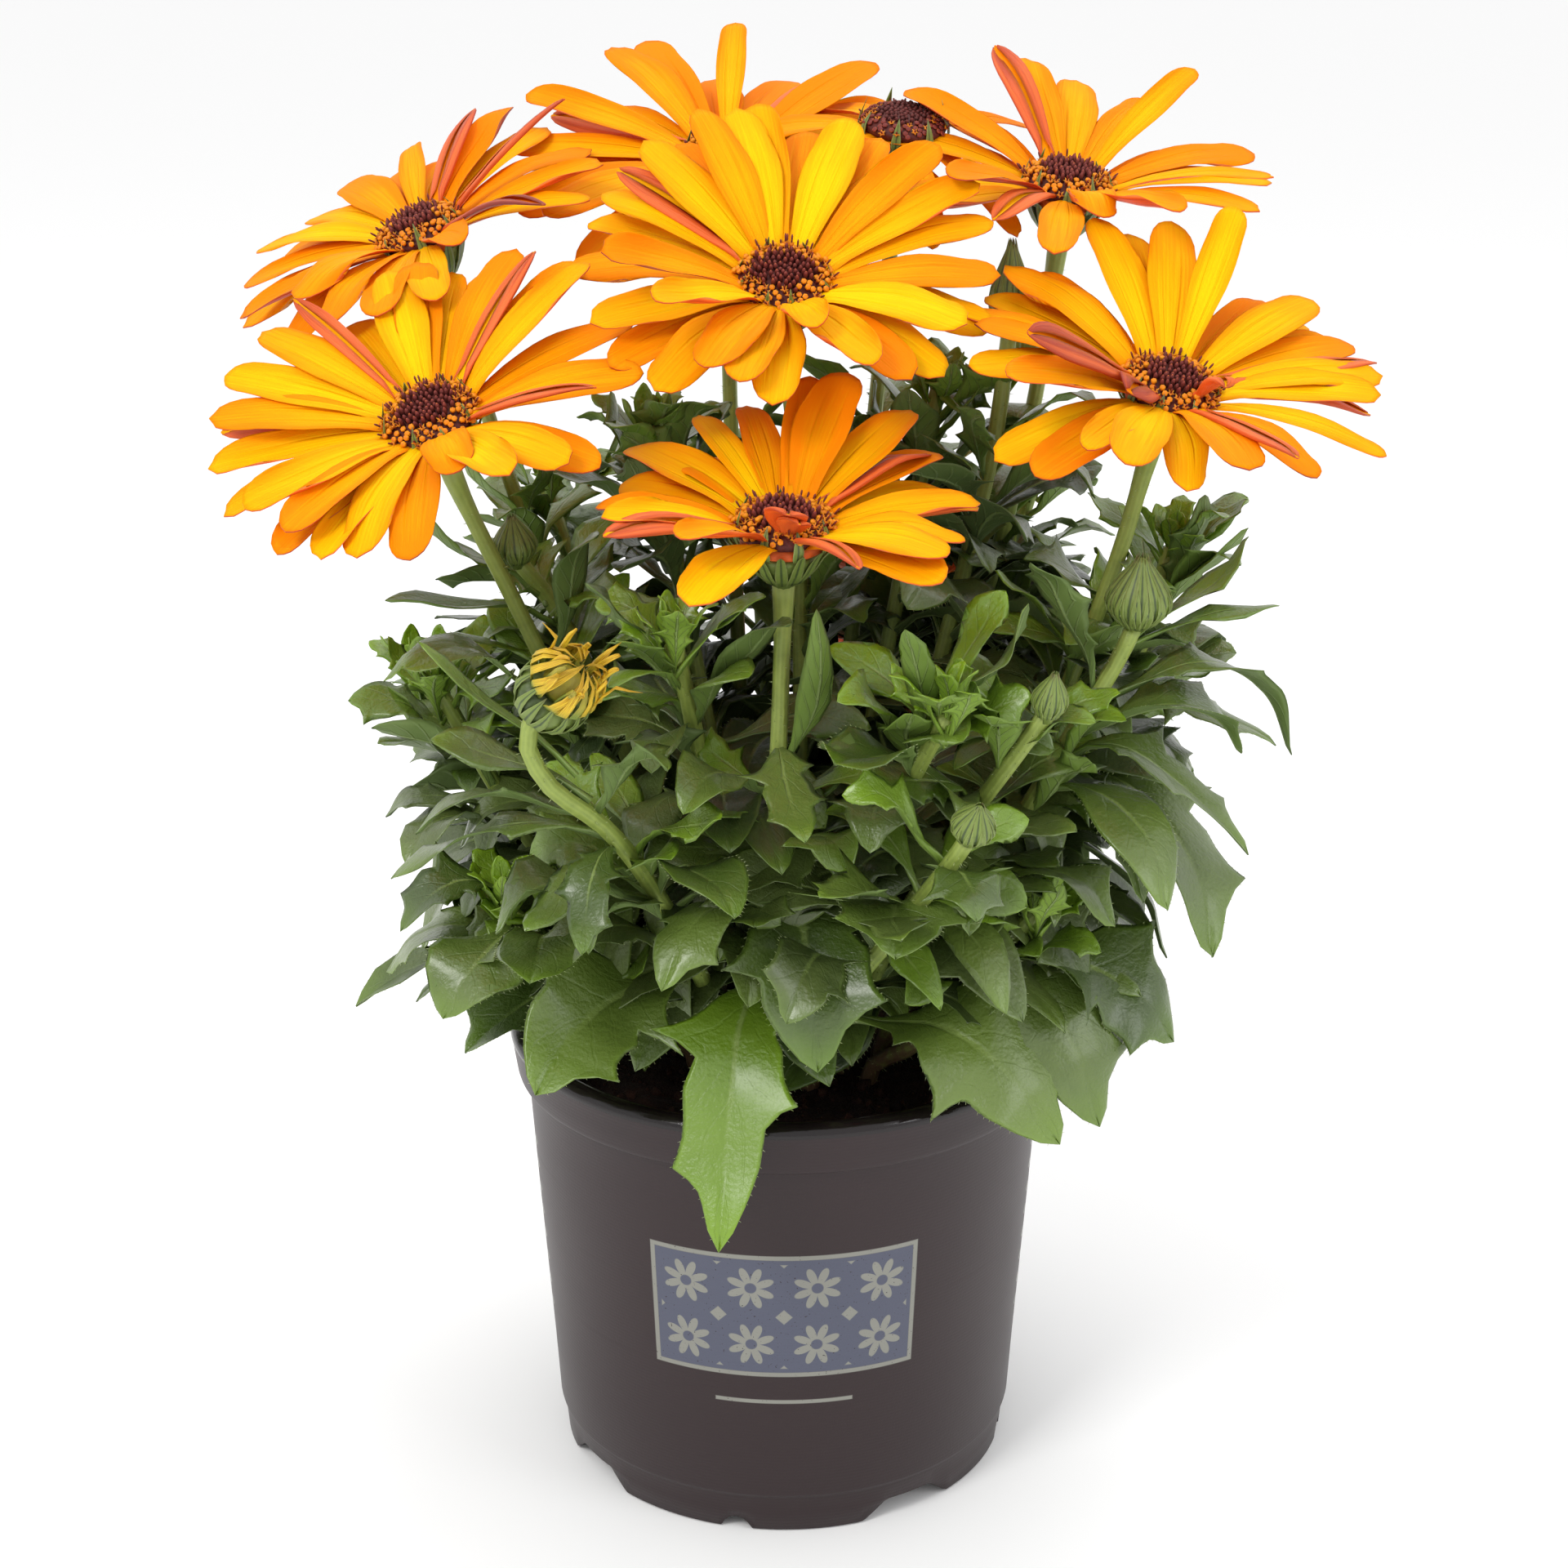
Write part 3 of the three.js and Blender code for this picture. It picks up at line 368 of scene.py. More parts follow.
    def scatter(self, shape: Shape, at: Cell, axes: Cell, size: Cell, chance: Cell, finish: int = 0) -> None:
        """Adds a small shape many times over.

        Args:
            shape: The shape.
            at: A place for each copy.
            axes: Three axes for each copy.
            size: Scales along the three axes for each copy.
            chance: The chance value of each copy.
            finish: The finish's number.
        """
        n, p = len(at), len(shape.points)
        placed = at[:, None] + np.einsum("pk,nk,nkc->npc", shape.points, size, axes)
        marks = np.stack([np.broadcast_to(shape.ages, (n, p)), np.broadcast_to(chance[:, None], (n, p))], -1)
        corners = np.where(shape.faces < 0, -1, shape.faces + (np.arange(n) * p)[:, None, None])
        self.put(placed.reshape(-1, 3), corners.reshape(-1, 4), np.zeros((n * len(shape.faces), 4, 2)),
                 marks.reshape(-1, 2), finish)

    def piece(self, name: str, slot: str, finishes: Sequence[Material], *nodes: str) -> Object:
        """Writes the mesh as a finished piece that rides on the plant's one body.

        Args:
            name: The piece's name.
            slot: Not used.
            finishes: The materials that the finish numbers stand for.
            *nodes: The solids that the piece stands for.

        Returns:
            The piece.
        """
        points, faces, uvs, marks, numbers = map(np.concatenate, zip(*self.parts))
        there = faces >= 0
        starts = np.concatenate([[0], np.cumsum(there.sum(1))[:-1]])
        mesh = bpy.data.meshes.new(name)
        mesh.vertices.add(len(points))
        mesh.loops.add(int(there.sum()))
        mesh.polygons.add(len(faces))
        points = np.clip(points, LOW + INSET, HIGH - INSET) * MM
        for data, key, values, kind in ((mesh.vertices, "co", points, np.float32),
                                        (mesh.loops, "vertex_index", faces[there], np.int32),
                                        (mesh.polygons, "loop_start", starts, np.int32),
                                        (mesh.polygons, "material_index", numbers, np.int32),
                                        (mesh.polygons, "use_smooth", np.ones(len(faces)), bool)):
            data.foreach_set(key, values.astype(kind).ravel())
        mesh.update(calc_edges=True)
        layer = mesh.uv_layers.new(name="UVMap")
        layer.data.foreach_set("uv", uvs[there].astype(np.float32).ravel())
        for mark, values in zip(("age", "chance"), marks.T):
            mesh.attributes.new(mark, "FLOAT", "POINT").data.foreach_set("value", values.astype(np.float32))
        for material in finishes:
            mesh.materials.append(material)
        piece = bpy.data.objects.new(name, mesh)
        bpy.context.scene.collection.objects.link(piece)
        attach(piece, "root")
        if nodes:
            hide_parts(*nodes)
        log.info("%s: %d faces, for %s", name, len(faces), ", ".join(nodes) or "nothing")
        return piece


# ---- shader sums


class Wire:
    """One output of a shader tree. Sums on it add their Math nodes."""

    def __init__(self, tree: "Tree", socket: bpy.types.NodeSocket) -> None:
        """Keeps the tree and the socket."""
        self.tree = tree
        self.socket = socket

    def math(self, operation: str, *others: "Wire | float") -> "Wire":
        """A Math node on this wire and others."""
        return self.tree.node("ShaderNodeMath", {"operation": operation}, dict(enumerate((self, *others))))

    __add__ = __radd__ = partialmethod(math, "ADD")
    __sub__ = partialmethod(math, "SUBTRACT")
    __mul__ = __rmul__ = partialmethod(math, "MULTIPLY")
    __pow__ = partialmethod(math, "POWER")
    __abs__ = partialmethod(math, "ABSOLUTE")
    wave = partialmethod(math, "SINE")
    angle_over = partialmethod(math, "ARCTAN2")
    part_of = partialmethod(math, "MODULO")
    there_and_back = partialmethod(math, "PINGPONG")
    # Masks: where both are, and where either is.
    both = partialmethod(math, "MINIMUM")
    either = partialmethod(math, "MAXIMUM")

    def __neg__(self) -> "Wire":
        """This wire with its sign turned."""
        return self * -1.0

    def __rsub__(self, other: float) -> "Wire":
        """A number less this wire."""
        return -self + other

    def within(self, low: float, high: float) -> "Wire":
        """A soft step from 0 at low to 1 at high, or down where high is the smaller."""
        settings = {"interpolation_type": "SMOOTHSTEP"}
        return self.tree.node("ShaderNodeMapRange", settings, {0: self, 1: low, 2: high})

    def under(self, limit: float, soft: float) -> "Wire":
        """A mask of where this wire's size is under a limit, softened by so much to each side."""
        return (abs(self) - limit).within(soft, -soft)


class Tree:
    """A material's shader tree, with what the mesh carries as wires: u, v, off, age and chance."""

    def __init__(self, name: str) -> None:
        """Starts a material with a Principled shader and nothing on it.

        Args:
            name: The material's name.
        """
        self.material = bpy.data.materials.new(name)
        self.material.use_nodes = True
        self.nodes = self.material.node_tree.nodes
        self.links = self.material.node_tree.links
        self.shader = self.nodes["Principled BSDF"]

    def node(self, kind: str, settings: dict, inputs: dict, output: int | str = 0) -> Wire:
        """Adds a node.

        Args:
            kind: The node's type.
            settings: Its own settings, which are set first; stops are a ramp's places and colours.
            inputs: Values or wires by socket name or number.
            output: The output that is wanted.

        Returns:
            The wire of that output.
        """
        made = self.nodes.new(kind)
        for key, value in settings.items():
            if key == "stops":
                ramp = made.color_ramp.elements
                for stop, (place, colour) in enumerate(value):
                    step = ramp[stop] if stop < 2 else ramp.new(place)
                    step.position, step.color = place, (*colour, 1.0)
            else:
                setattr(made, key, value)
        for key, value in inputs.items():
            self.join(made.inputs[key], value)
        return Wire(self, made.outputs[output])

    def join(self, socket: bpy.types.NodeSocket, value: "Wire | float | Row") -> None:
        """Links a wire to a socket or sets the socket's value, where a colour gets its alpha.

        Args:
            socket: The input.
            value: The wire or the value.
        """
        if isinstance(value, Wire):
            self.links.new(value.socket, socket)
        else:
            socket.default_value = (*value, 1.0) if socket.type == "RGBA" and len(value) == 3 else value

    def mark(self, name: str) -> Wire:
        """A number that the mesh carries."""
        return self.node("ShaderNodeAttribute", {"attribute_name": name}, {}, "Fac")

    def parts(self, vector: Wire) -> list[Wire]:
        """The three parts of a vector."""
        first = self.node("ShaderNodeSeparateXYZ", {}, {0: vector})
        return [Wire(self, socket) for socket in first.socket.node.outputs]

    @cached_property
    def uv(self) -> list[Wire]:
        """The two UV values, and a third that is 0."""
        return self.parts(self.node("ShaderNodeUVMap", {"uv_map": "UVMap"}, {}))

    @cached_property
    def u(self) -> Wire:
        """The place across a blade or round a body."""
        return self.uv[0]

    @cached_property
    def v(self) -> Wire:
        """The place along."""
        return self.uv[1]

    @cached_property
    def off(self) -> Wire:
        """How far off a blade's midline, from 0 to 1 at its edges."""
        return abs(self.u - 0.5) * 2.0

    @cached_property
    def age(self) -> Wire:
        """The mesh's age."""
        return self.mark("age")

    @cached_property
    def chance(self) -> Wire:
        """The mesh's chance value."""
        return self.mark("chance")

    @cached_property
    def place(self) -> Wire:
        """The place on the object, in metres."""
        return self.node("ShaderNodeTexCoord", {}, {}, "Object")

    def noise(self, scale: float, detail: float = 3.0, where: Wire | None = None) -> Wire:
        """Cloudy noise between 0 and 1, `scale` cells a metre on the object or a unit of `where`."""
        inputs = {"Vector": where or self.place, "Scale": scale, "Detail": detail}
        return self.node("ShaderNodeTexNoise", {}, inputs)

    def streaks(self, detail: float, *parts: "Wire | float") -> Wire:
        """Noise over a vector of parts that run at rates of their own, so that its cells are long."""
        return self.noise(1.0, detail, self.node("ShaderNodeCombineXYZ", {}, dict(enumerate(parts))))

    def blend(self, first: "Wire | Row", second: "Wire | Row", share: "Wire | float") -> Wire:
        """A colour a share of the way from the first to the second."""
        return self.node("ShaderNodeMix", {"data_type": "RGBA"}, {0: share, 6: first, 7: second}, 2)

    def finish(self, colour: "Wire | Row", roughness: "Wire | float", height: Wire | None = None,
               depth: float = 0.0002, **fixed: "float | Row") -> Material:
        """Sets the shader and gives the material.

        Args:
            colour: The base colour.
            roughness: The roughness.
            height: The relief between 0 and 1, if there is one.
            depth: How deep the relief is, in metres.
            **fixed: Values for the shader's other sockets, by name with spaces as underscores.

        Returns:
            The material.
        """
        if height is not None:
            relief = {"Height": height, "Distance": depth, "Strength": 1.0}
            fixed["Normal"] = self.node("ShaderNodeBump", {}, relief)
        for key, value in {"Base Color": colour, "Roughness": roughness, **fixed}.items():
            self.join(self.shader.inputs[key.replace("_", " ")], value)
        return self.material


def tint(*screen: int) -> tuple[float, ...]:
    """A screen colour of 0 to 255 as the linear numbers that a shader takes."""
    return tuple(((c / 255 + 0.055) / 1.055) ** 2.4 if c > 10 else c / 255 / 12.92 for c in screen)


# ---- finishes


@dataclass(frozen=True)
class PetalFace:
    """The upper face of a ray petal: golden at the middle, orange to the tip and the edges."""

    yellow: Row = tint(248, 198, 6)
    gold: Row = tint(242, 166, 2)
    orange: Row = tint(238, 130, 1)
    deep: Row = tint(206, 74, 8)
    groove: float = 0.36

    def make(self) -> Material:
        """Builds the material.

        Returns:
            The material.
        """
        tree = Tree("petal_face")
        v, off, age, chance = tree.v, tree.off, tree.age, tree.chance
        streak = tree.streaks(4.0, tree.u * 26.0, v * 2.2, chance * 40.0)
        warm = off.within(0.3, 1.0) * 0.4 + v.within(0.4, 1.0) * 0.3 + (streak - 0.5) * 0.8
        warm = warm + (tree.noise(70.0, 2.0) - 0.5) * 0.5 + (chance - 0.5) * 0.9 + age * 0.75
        base = tree.blend(self.yellow, self.gold, (warm + 0.5).within(0.0, 0.65))
        base = tree.blend(base, self.orange, warm.within(0.0, 0.8))
        rim = v.within(0.965, 1.0) * 0.3 + off.within(0.95, 1.0) * 0.12 + v.within(0.14, 0.0) * 0.5
        groove = abs(off - self.groove).within(0.08, 0.0) * v.within(0.95, 0.6) * v.within(0.02, 0.2)
        colour = tree.blend(base, self.deep, (rim + groove * 0.1 + age * 0.06).within(0.0, 1.2))
        return tree.finish(colour, streak * 0.14 + 0.56, streak * 0.45 - groove * 0.7,
                           Specular_IOR_Level=0.06, Subsurface_Weight=0.2,
                           Subsurface_Radius=(1.0, 0.4, 0.04), Subsurface_Scale=0.001)


@dataclass(frozen=True)
class PetalBack:
    """The lower face of a ray petal: salmon to red-brown with darker lengthwise stripes."""

    salmon: Row = tint(232, 106, 42)
    brick: Row = tint(176, 62, 30)
    plum: Row = tint(118, 54, 52)

    def make(self) -> Material:
        """Builds the material.

        Returns:
            The material.
        """
        tree = Tree("petal_back")
        v, off, chance = tree.v, tree.off, tree.chance
        streak = tree.streaks(4.0, tree.u * 22.0, v * 2.0, chance * 40.0)
        stripe = (off * 15.0 + (streak - 0.5) * 3.0).wave() * 0.5 + 0.5
        dark = stripe * 0.35 + (streak - 0.5) * 0.9 + v.within(0.55, 1.0) * 0.3 + (chance - 0.4) * 0.5
        base = tree.blend(self.salmon, self.brick, (dark * off.within(1.02, 0.86) + 0.1).within(0.0, 1.0))
        plum = chance.within(0.78, 0.98) * (v.within(0.1, 0.7) * 0.55 + stripe * 0.25)
        colour = tree.blend(base, self.plum, plum)
        return tree.finish(colour, streak * 0.15 + 0.45, stripe * 0.5 + streak, Specular_IOR_Level=0.3,
                           Subsurface_Weight=0.2, Subsurface_Radius=(1.0, 0.4, 0.1), Subsurface_Scale=0.001)


@dataclass(frozen=True)
class FloretFinish:
    """Disc florets: maroon while shut, with orange open lobes."""

    maroon: Row = tint(66, 22, 18)
    wine: Row = tint(124, 46, 38)
    orange: Row = tint(206, 104, 6)
    pollen: Row = tint(240, 160, 14)

    def make(self) -> Material:
        """Builds the material.

        Returns:
            The material.
        """
        tree = Tree("florets")
        speckle = tree.noise(2600.0, 2.0)
        stops = [(0.0, self.maroon), (0.42, self.wine), (0.6, self.orange), (1.0, self.pollen)]
        ripe = tree.age + (speckle - 0.5) * 0.28 + (tree.chance - 0.5) * 0.14
        colour = tree.node("ShaderNodeValToRGB", {"stops": stops}, {0: ripe})
        return tree.finish(colour, speckle * 0.2 + 0.5, speckle, 0.0001, Specular_IOR_Level=0.35)


@dataclass(frozen=True)
class LeafFace:
    """The upper face of a leaf: grey-green with a soft gloss, a pale midrib and a fine pale edge."""

    dark: Row = tint(37, 51, 26)
    green: Row = tint(89, 104, 50)
    young: Row = tint(122, 160, 16)
    pale: Row = tint(132, 152, 80)

    def make(self) -> Material:
        """Builds the material.

        Returns:
            The material.
        """
        tree = Tree("leaf_face")
        v, off = tree.v, tree.off
        cloud, crease, grain = tree.noise(70.0), tree.noise(330.0), tree.noise(1400.0, 2.0)
        light = cloud * 0.8 + crease * 0.3 + (tree.chance - 0.4) * 0.8
        base = tree.blend(self.dark, self.green, light.within(0.1, 1.0))
        young = tree.age + v.within(0.8, 1.05) * 0.3 + off.within(0.8, 1.0) * 0.12
        base = tree.blend(base, self.young, young)
        vein = (v * 38.0 - off * 10.0 + (cloud - 0.5) * 9.0).wave().within(0.9, 1.0)
        vein = vein * off.within(1.0, 0.5) * v.within(0.15, 0.35)
        rib = off.within(0.1, 0.02) * v.within(0.95, 0.45)
        pale = rib * 0.7 + vein * 0.1 + off.within(0.95, 1.0) * 0.4 + v.within(0.2, 0.02) * 0.7
        colour = tree.blend(base, self.pale, pale.within(0.0, 1.1))
        height = crease * 0.7 + cloud * 0.7 + grain * 0.42 - vein * 0.12 - rib * 0.4
        return tree.finish(colour, crease * 0.16 + cloud * 0.12 + 0.25, height, 0.00045,
                           Specular_IOR_Level=0.55, Coat_Weight=0.4, Coat_Roughness=0.19)


@dataclass(frozen=True)
class LeafBack:
    """The lower face of a leaf: lighter, matt, with a standing midrib."""

    green: Row = tint(80, 99, 50)
    young: Row = tint(122, 156, 28)
    pale: Row = tint(132, 152, 88)

    def make(self) -> Material:
        """Builds the material.

        Returns:
            The material.
        """
        tree = Tree("leaf_back")
        cloud = tree.noise(160.0, 4.0)
        vein = (tree.v * 46.0 - tree.off * 11.0).wave().within(0.8, 1.0) * tree.off.within(1.0, 0.5)
        rib = tree.off.within(0.12, 0.03)
        base = tree.blend(self.green, self.young, tree.age)
        colour = tree.blend(base, self.pale, rib * 0.7 + vein * 0.25 + cloud * 0.2)
        return tree.finish(colour, 0.6, cloud + rib * 0.8 + vein * 0.5, 0.0004)


@dataclass(frozen=True)
class StemFinish:
    """Stems: fresh green with fine lengthwise lines, darker lower down with painted shade, woody brown at the
    foot.
    """

    green: Row = tint(150, 166, 78)
    shade: Row = tint(104, 122, 50)
    bark: Row = tint(92, 70, 48)

    def make(self) -> Material:
        """Builds the material.

        Returns:
            The material.
        """
        tree = Tree("stem")
        height = tree.parts(tree.place)[2]
        line = (tree.u * 63.0 + tree.noise(60.0) * 6.0).wave() * 0.5 + 0.5
        cloud = tree.noise(500.0, 4.0)
        # Partly random tone and partly painted shade: the stem blends towards the shade colour lower down,
        # among the leaves, and lightens towards the top.
        light = line * 0.16 + cloud * 0.6 + height.within(0.09, 0.2) * 0.45
        base = tree.blend(self.shade, self.green, light.within(0.1, 1.1))
        colour = tree.blend(self.bark, base, (height + (cloud - 0.5) * 0.03).within(0.086, 0.104))
        return tree.finish(colour, cloud * 0.15 + 0.42, line * 0.2 + cloud)


@dataclass(frozen=True)
class BractFinish:
    """Bud scales and the cup's bracts: mid green, darker along the middle, pale at the edges."""

    green: Row = tint(112, 130, 58)
    dark: Row = tint(58, 74, 38)
    pale: Row = tint(160, 174, 104)
    tip: Row = tint(88, 60, 42)

    def make(self) -> Material:
        """Builds the material.

        Returns:
            The material.
        """
        tree = Tree("bract")
        cloud = tree.noise(700.0)
        shade = (tree.off.within(0.34, 0.05) + (cloud - 0.5) * 0.6).within(0.0, 1.2)
        base = tree.blend(self.green, self.dark, shade)
        base = tree.blend(base, self.pale, tree.off.within(0.72, 1.0) * 0.6)
        colour = tree.blend(base, self.tip, tree.v.within(0.8, 1.0) * 0.75 * tree.chance.within(0.2, 1.0))
        return tree.finish(colour, cloud * 0.2 + 0.42, cloud)


@dataclass(frozen=True)
class HairFinish:
    """Fine pale hairs on stems and leaf edges."""

    pale: Row = tint(196, 206, 156)
    green: Row = tint(150, 170, 96)

    def make(self) -> Material:
        """Builds the material."""
        tree = Tree("hair")
        return tree.finish(tree.blend(self.green, self.pale, tree.age), 0.5 + tree.noise(900.0) * 0.1)


@dataclass(frozen=True)
class StrapFinish:
    """The half-open bud's curled strap rays, yellow with darker lines and some of them green."""

    yellow: Row = tint(232, 198, 44)
    amber: Row = tint(190, 142, 20)
    green: Row = tint(122, 138, 52)

    def make(self) -> Material:
        """Builds the material.

        Returns:
            The material.
        """
        tree = Tree("strap_ray")
        v, chance = tree.v, tree.chance
        streak = tree.streaks(4.0, tree.u * 12.0, v * 3.0, chance * 30.0)
        base = tree.blend(self.yellow, self.amber, (streak + v * 0.25).within(0.4, 0.85))
        green = (v.within(0.5, 0.0) * 0.9 + chance.within(0.72, 0.76) * 0.6).within(0.0, 1.0)
        return tree.finish(tree.blend(base, self.green, green), streak * 0.2 + 0.4, streak,
                           Subsurface_Weight=0.15, Subsurface_Radius=(1.0, 0.6, 0.1), Subsurface_Scale=0.0008)


@dataclass(frozen=True)
class PeatFinish:
    """Peat: very dark red-brown, crumbly and matt."""

    dark: Row = tint(26, 15, 12)
    brown: Row = tint(62, 36, 27)
    fibre: Row = tint(110, 74, 50)

    def make(self) -> Material:
        """Builds the material.

        Returns:
            The material.
        """
        tree = Tree("peat")
        lump, grit = tree.noise(420.0, 6.0), tree.noise(2400.0)
        fleck = tree.noise(1100.0, 2.0).within(0.66, 0.78)
        light = (lump * 0.8 + tree.chance * 0.5 + grit * 0.3).within(0.45, 1.25)
        colour = tree.blend(tree.blend(self.dark, self.brown, light), self.fibre, fleck * 0.7)
        return tree.finish(colour, 0.85 + grit * 0.12, lump + grit * 0.5, 0.0012, Specular_IOR_Level=0.25)


@dataclass(frozen=True)
class PotFinish:
    """Dark warm grey-brown moulded plastic with a plain printed panel of tiled blossoms, and a painted dark
    reflection on its glossy rim top.

    The print is drawn round the wall by the arc from the front and the height, in millimetres.
    Below the panel stands a short rule, and at each side a row of seeds.
    """

    plastic: Row = tint(37, 22, 24)
    # Colour of the painted dark reflection that darkens the glossy rim top.
    lip_dark_reflection: Row = tint(22, 17, 18)
    slate: Row = tint(77, 80, 96)
    cream: Row = tint(130, 130, 122)
    wall: float = 47.0
    centre: float = 48.0
    half_wide: float = 24.0
    half_high: float = 12.0
    frame: float = 0.9
    tile: float = 12.0
    rule_drop: float = 18.4
    row_off: float = 64.5
    row_height: float = 47.0
    seed: float = 2.5

    def box(self, across: Wire, along: Wire, grown: float) -> Wire:
        """The panel as a sharp-edged box about the middle, grown on every side."""
        return across.under(self.half_wide + grown, 0.12).both(along.under(self.half_high + grown, 0.12))

    def blossoms(self, across: Wire, along: Wire) -> Wire:
        """Tiles, each with eight slim lobes round a ring and a small lozenge in every corner.

        Args:
            across: The arc from the front.
            along: The height over the panel's middle.

        Returns:
            The mask of what is cream.
        """
        tile = self.tile
        x, z = ((way + tile * 40).part_of(tile) - tile / 2 for way in (across, along))
        far = (x * x + z * z) ** 0.5
        lobes = abs((z.angle_over(x) * 4.0).wave()) * (tile * 0.24) + tile * 0.13
        petals = (far - lobes).within(0.16, -0.16).both((far - tile * 0.09).within(-0.12, 0.12))
        corner = (tile / 2 - abs(x)) + (tile / 2 - abs(z))
        return petals.either((corner - tile * 0.13).within(0.14, -0.14))

    def print_of(self, arc: Wire, height: Wire) -> tuple[Wire, Wire, Wire]:
        """The print's masks.

        Args:
            arc: The arc from the front.
            height: The height over the floor.

        Returns:
            The panel, the panel with its frame, and all that is cream.
        """
        along = height - self.centre
        panel, inner, edge = (self.box(arc, along, grown) for grown in (0.0, -self.frame, self.frame))
        rule = (along + self.rule_drop).under(0.4, 0.12).both(arc.under(13.0, 0.15))
        off = abs(arc) - self.row_off
        row = off.under(1.7, 0.12).both((height - self.row_height).under(20.0, 0.2))
        seeds = (height.there_and_back(self.seed) + abs(off) * 0.8 - 1.3).within(0.15, -0.15).both(row)
        cream = self.blossoms(arc, along).both(inner).either(rule).either(seeds).either(edge - panel)
        return panel, edge, cream

    def make(self) -> Material:
        """Builds the material.

        Returns:
            The material.
        """
        tree = Tree("pot_plastic")
        x, y, z = tree.parts(tree.place)
        height, arc = z * 1000.0, x.angle_over(-y) * self.wall
        outer = (x * x + y * y).within(0.0425**2, 0.0432**2)
        panel, edge, cream = self.print_of(arc, height)
        cloud, grain = tree.noise(40.0), tree.noise(2300.0, 2.0)
        worn = grain.within(0.26, 0.33)
        scuff = tree.streaks(3.0, arc * 0.02, height * 0.9).within(0.6, 0.8)
        # Painted reflection: from 86.5 mm up the rim is darkened towards the lip colour for the dark
        # surroundings its gloss reflects; the same band is also made glossier.
        lip_dark_reflection = height.within(85.9, 86.5)
        shown = tree.blend(self.plastic, self.lip_dark_reflection, lip_dark_reflection * 0.9 + (cloud - 0.5) * 0.2)
        for colour, mask in ((self.slate, panel), (self.cream, cream)):
            shown = tree.blend(shown, colour, mask.both(outer) * worn)
        rough = 0.36 + cloud * 0.1 + scuff * 0.06 + edge * 0.08 - lip_dark_reflection * 0.26
        relief = grain * 0.25 + (height * 9.0).wave() * 0.05 + cloud * 0.3
        return tree.finish(shown, rough, relief, 0.00008, Specular_IOR_Level=0.42)


class Green(IntEnum):
    """The finishes of a leafy stem, by number."""

    FACE = 0
    BACK = 1
    STEM = 2
    BRACT = 3
    HAIR = 4


class Finishes:
    """All the finishes, each built once; green ones stand in the order of Green."""

    def __init__(self) -> None:
        """Builds the materials."""
        self.petal = [PetalFace().make(), PetalBack().make()]
        self.green = [kind().make() for kind in (LeafFace, LeafBack, StemFinish, BractFinish, HairFinish)]
        self.floret, self.strap = FloretFinish().make(), StrapFinish().make()
        self.peat, self.pot = PeatFinish().make(), PotFinish().make()


# ---- sizes and tables


class Edge(Enum):
    """Kinds of leaf edge: the teeth on the left and on the right, as place and size."""

    ENTIRE = ((), ())
    LOBED_A = (((0.42, 0.6),), ((0.7, 0.55),))
    LOBED_B = (((0.7, 0.55),), ((0.42, 0.6),))
    TOOTHED_A = (((0.5, 0.7), (0.84, 0.5)), ((0.36, 0.5), (0.66, 0.4)))
    TOOTHED_B = (((0.42, 0.5), (0.7, 0.4)), ((0.54, 0.7), (0.86, 0.5)))


# Short names for the tables: entire, and toothed in two ways.
E, A, B = Edge.ENTIRE, Edge.TOOTHED_A, Edge.TOOTHED_B


@dataclass(frozen=True)
class BloomSpec:
    """An open bloom: where its disc stands and faces, and its petals.

    A petal is its angle round the disc, lift, and where they differ length, width and roll.
    """

    at: Row
    heading: float
    rise: float
    length: float
    width: float
    petals: Sequence[Row]
    age: float = 0.0

    @cached_property
    def seat(self) -> Seat:
        """Where it stands and faces."""
        return Seat.of(self.at, self.heading, self.rise)

    def covers(self, spot: Cell) -> bool:
        """Whether any of some points lies among the petals or close before the bloom's face.

        Args:
            spot: The points.

        Returns:
            True where one does.
        """
        gap = spot - self.seat.at
        high = gap @ self.seat.out
        far = np.linalg.norm(gap - high[..., None] * self.seat.out, axis=-1)
        ahead = 16 if self.rise < 50 else 6 + 0.45 * far
        return bool(np.any((far < self.length - 2) & (high > -3 - 0.12 * far) & (high < ahead)))


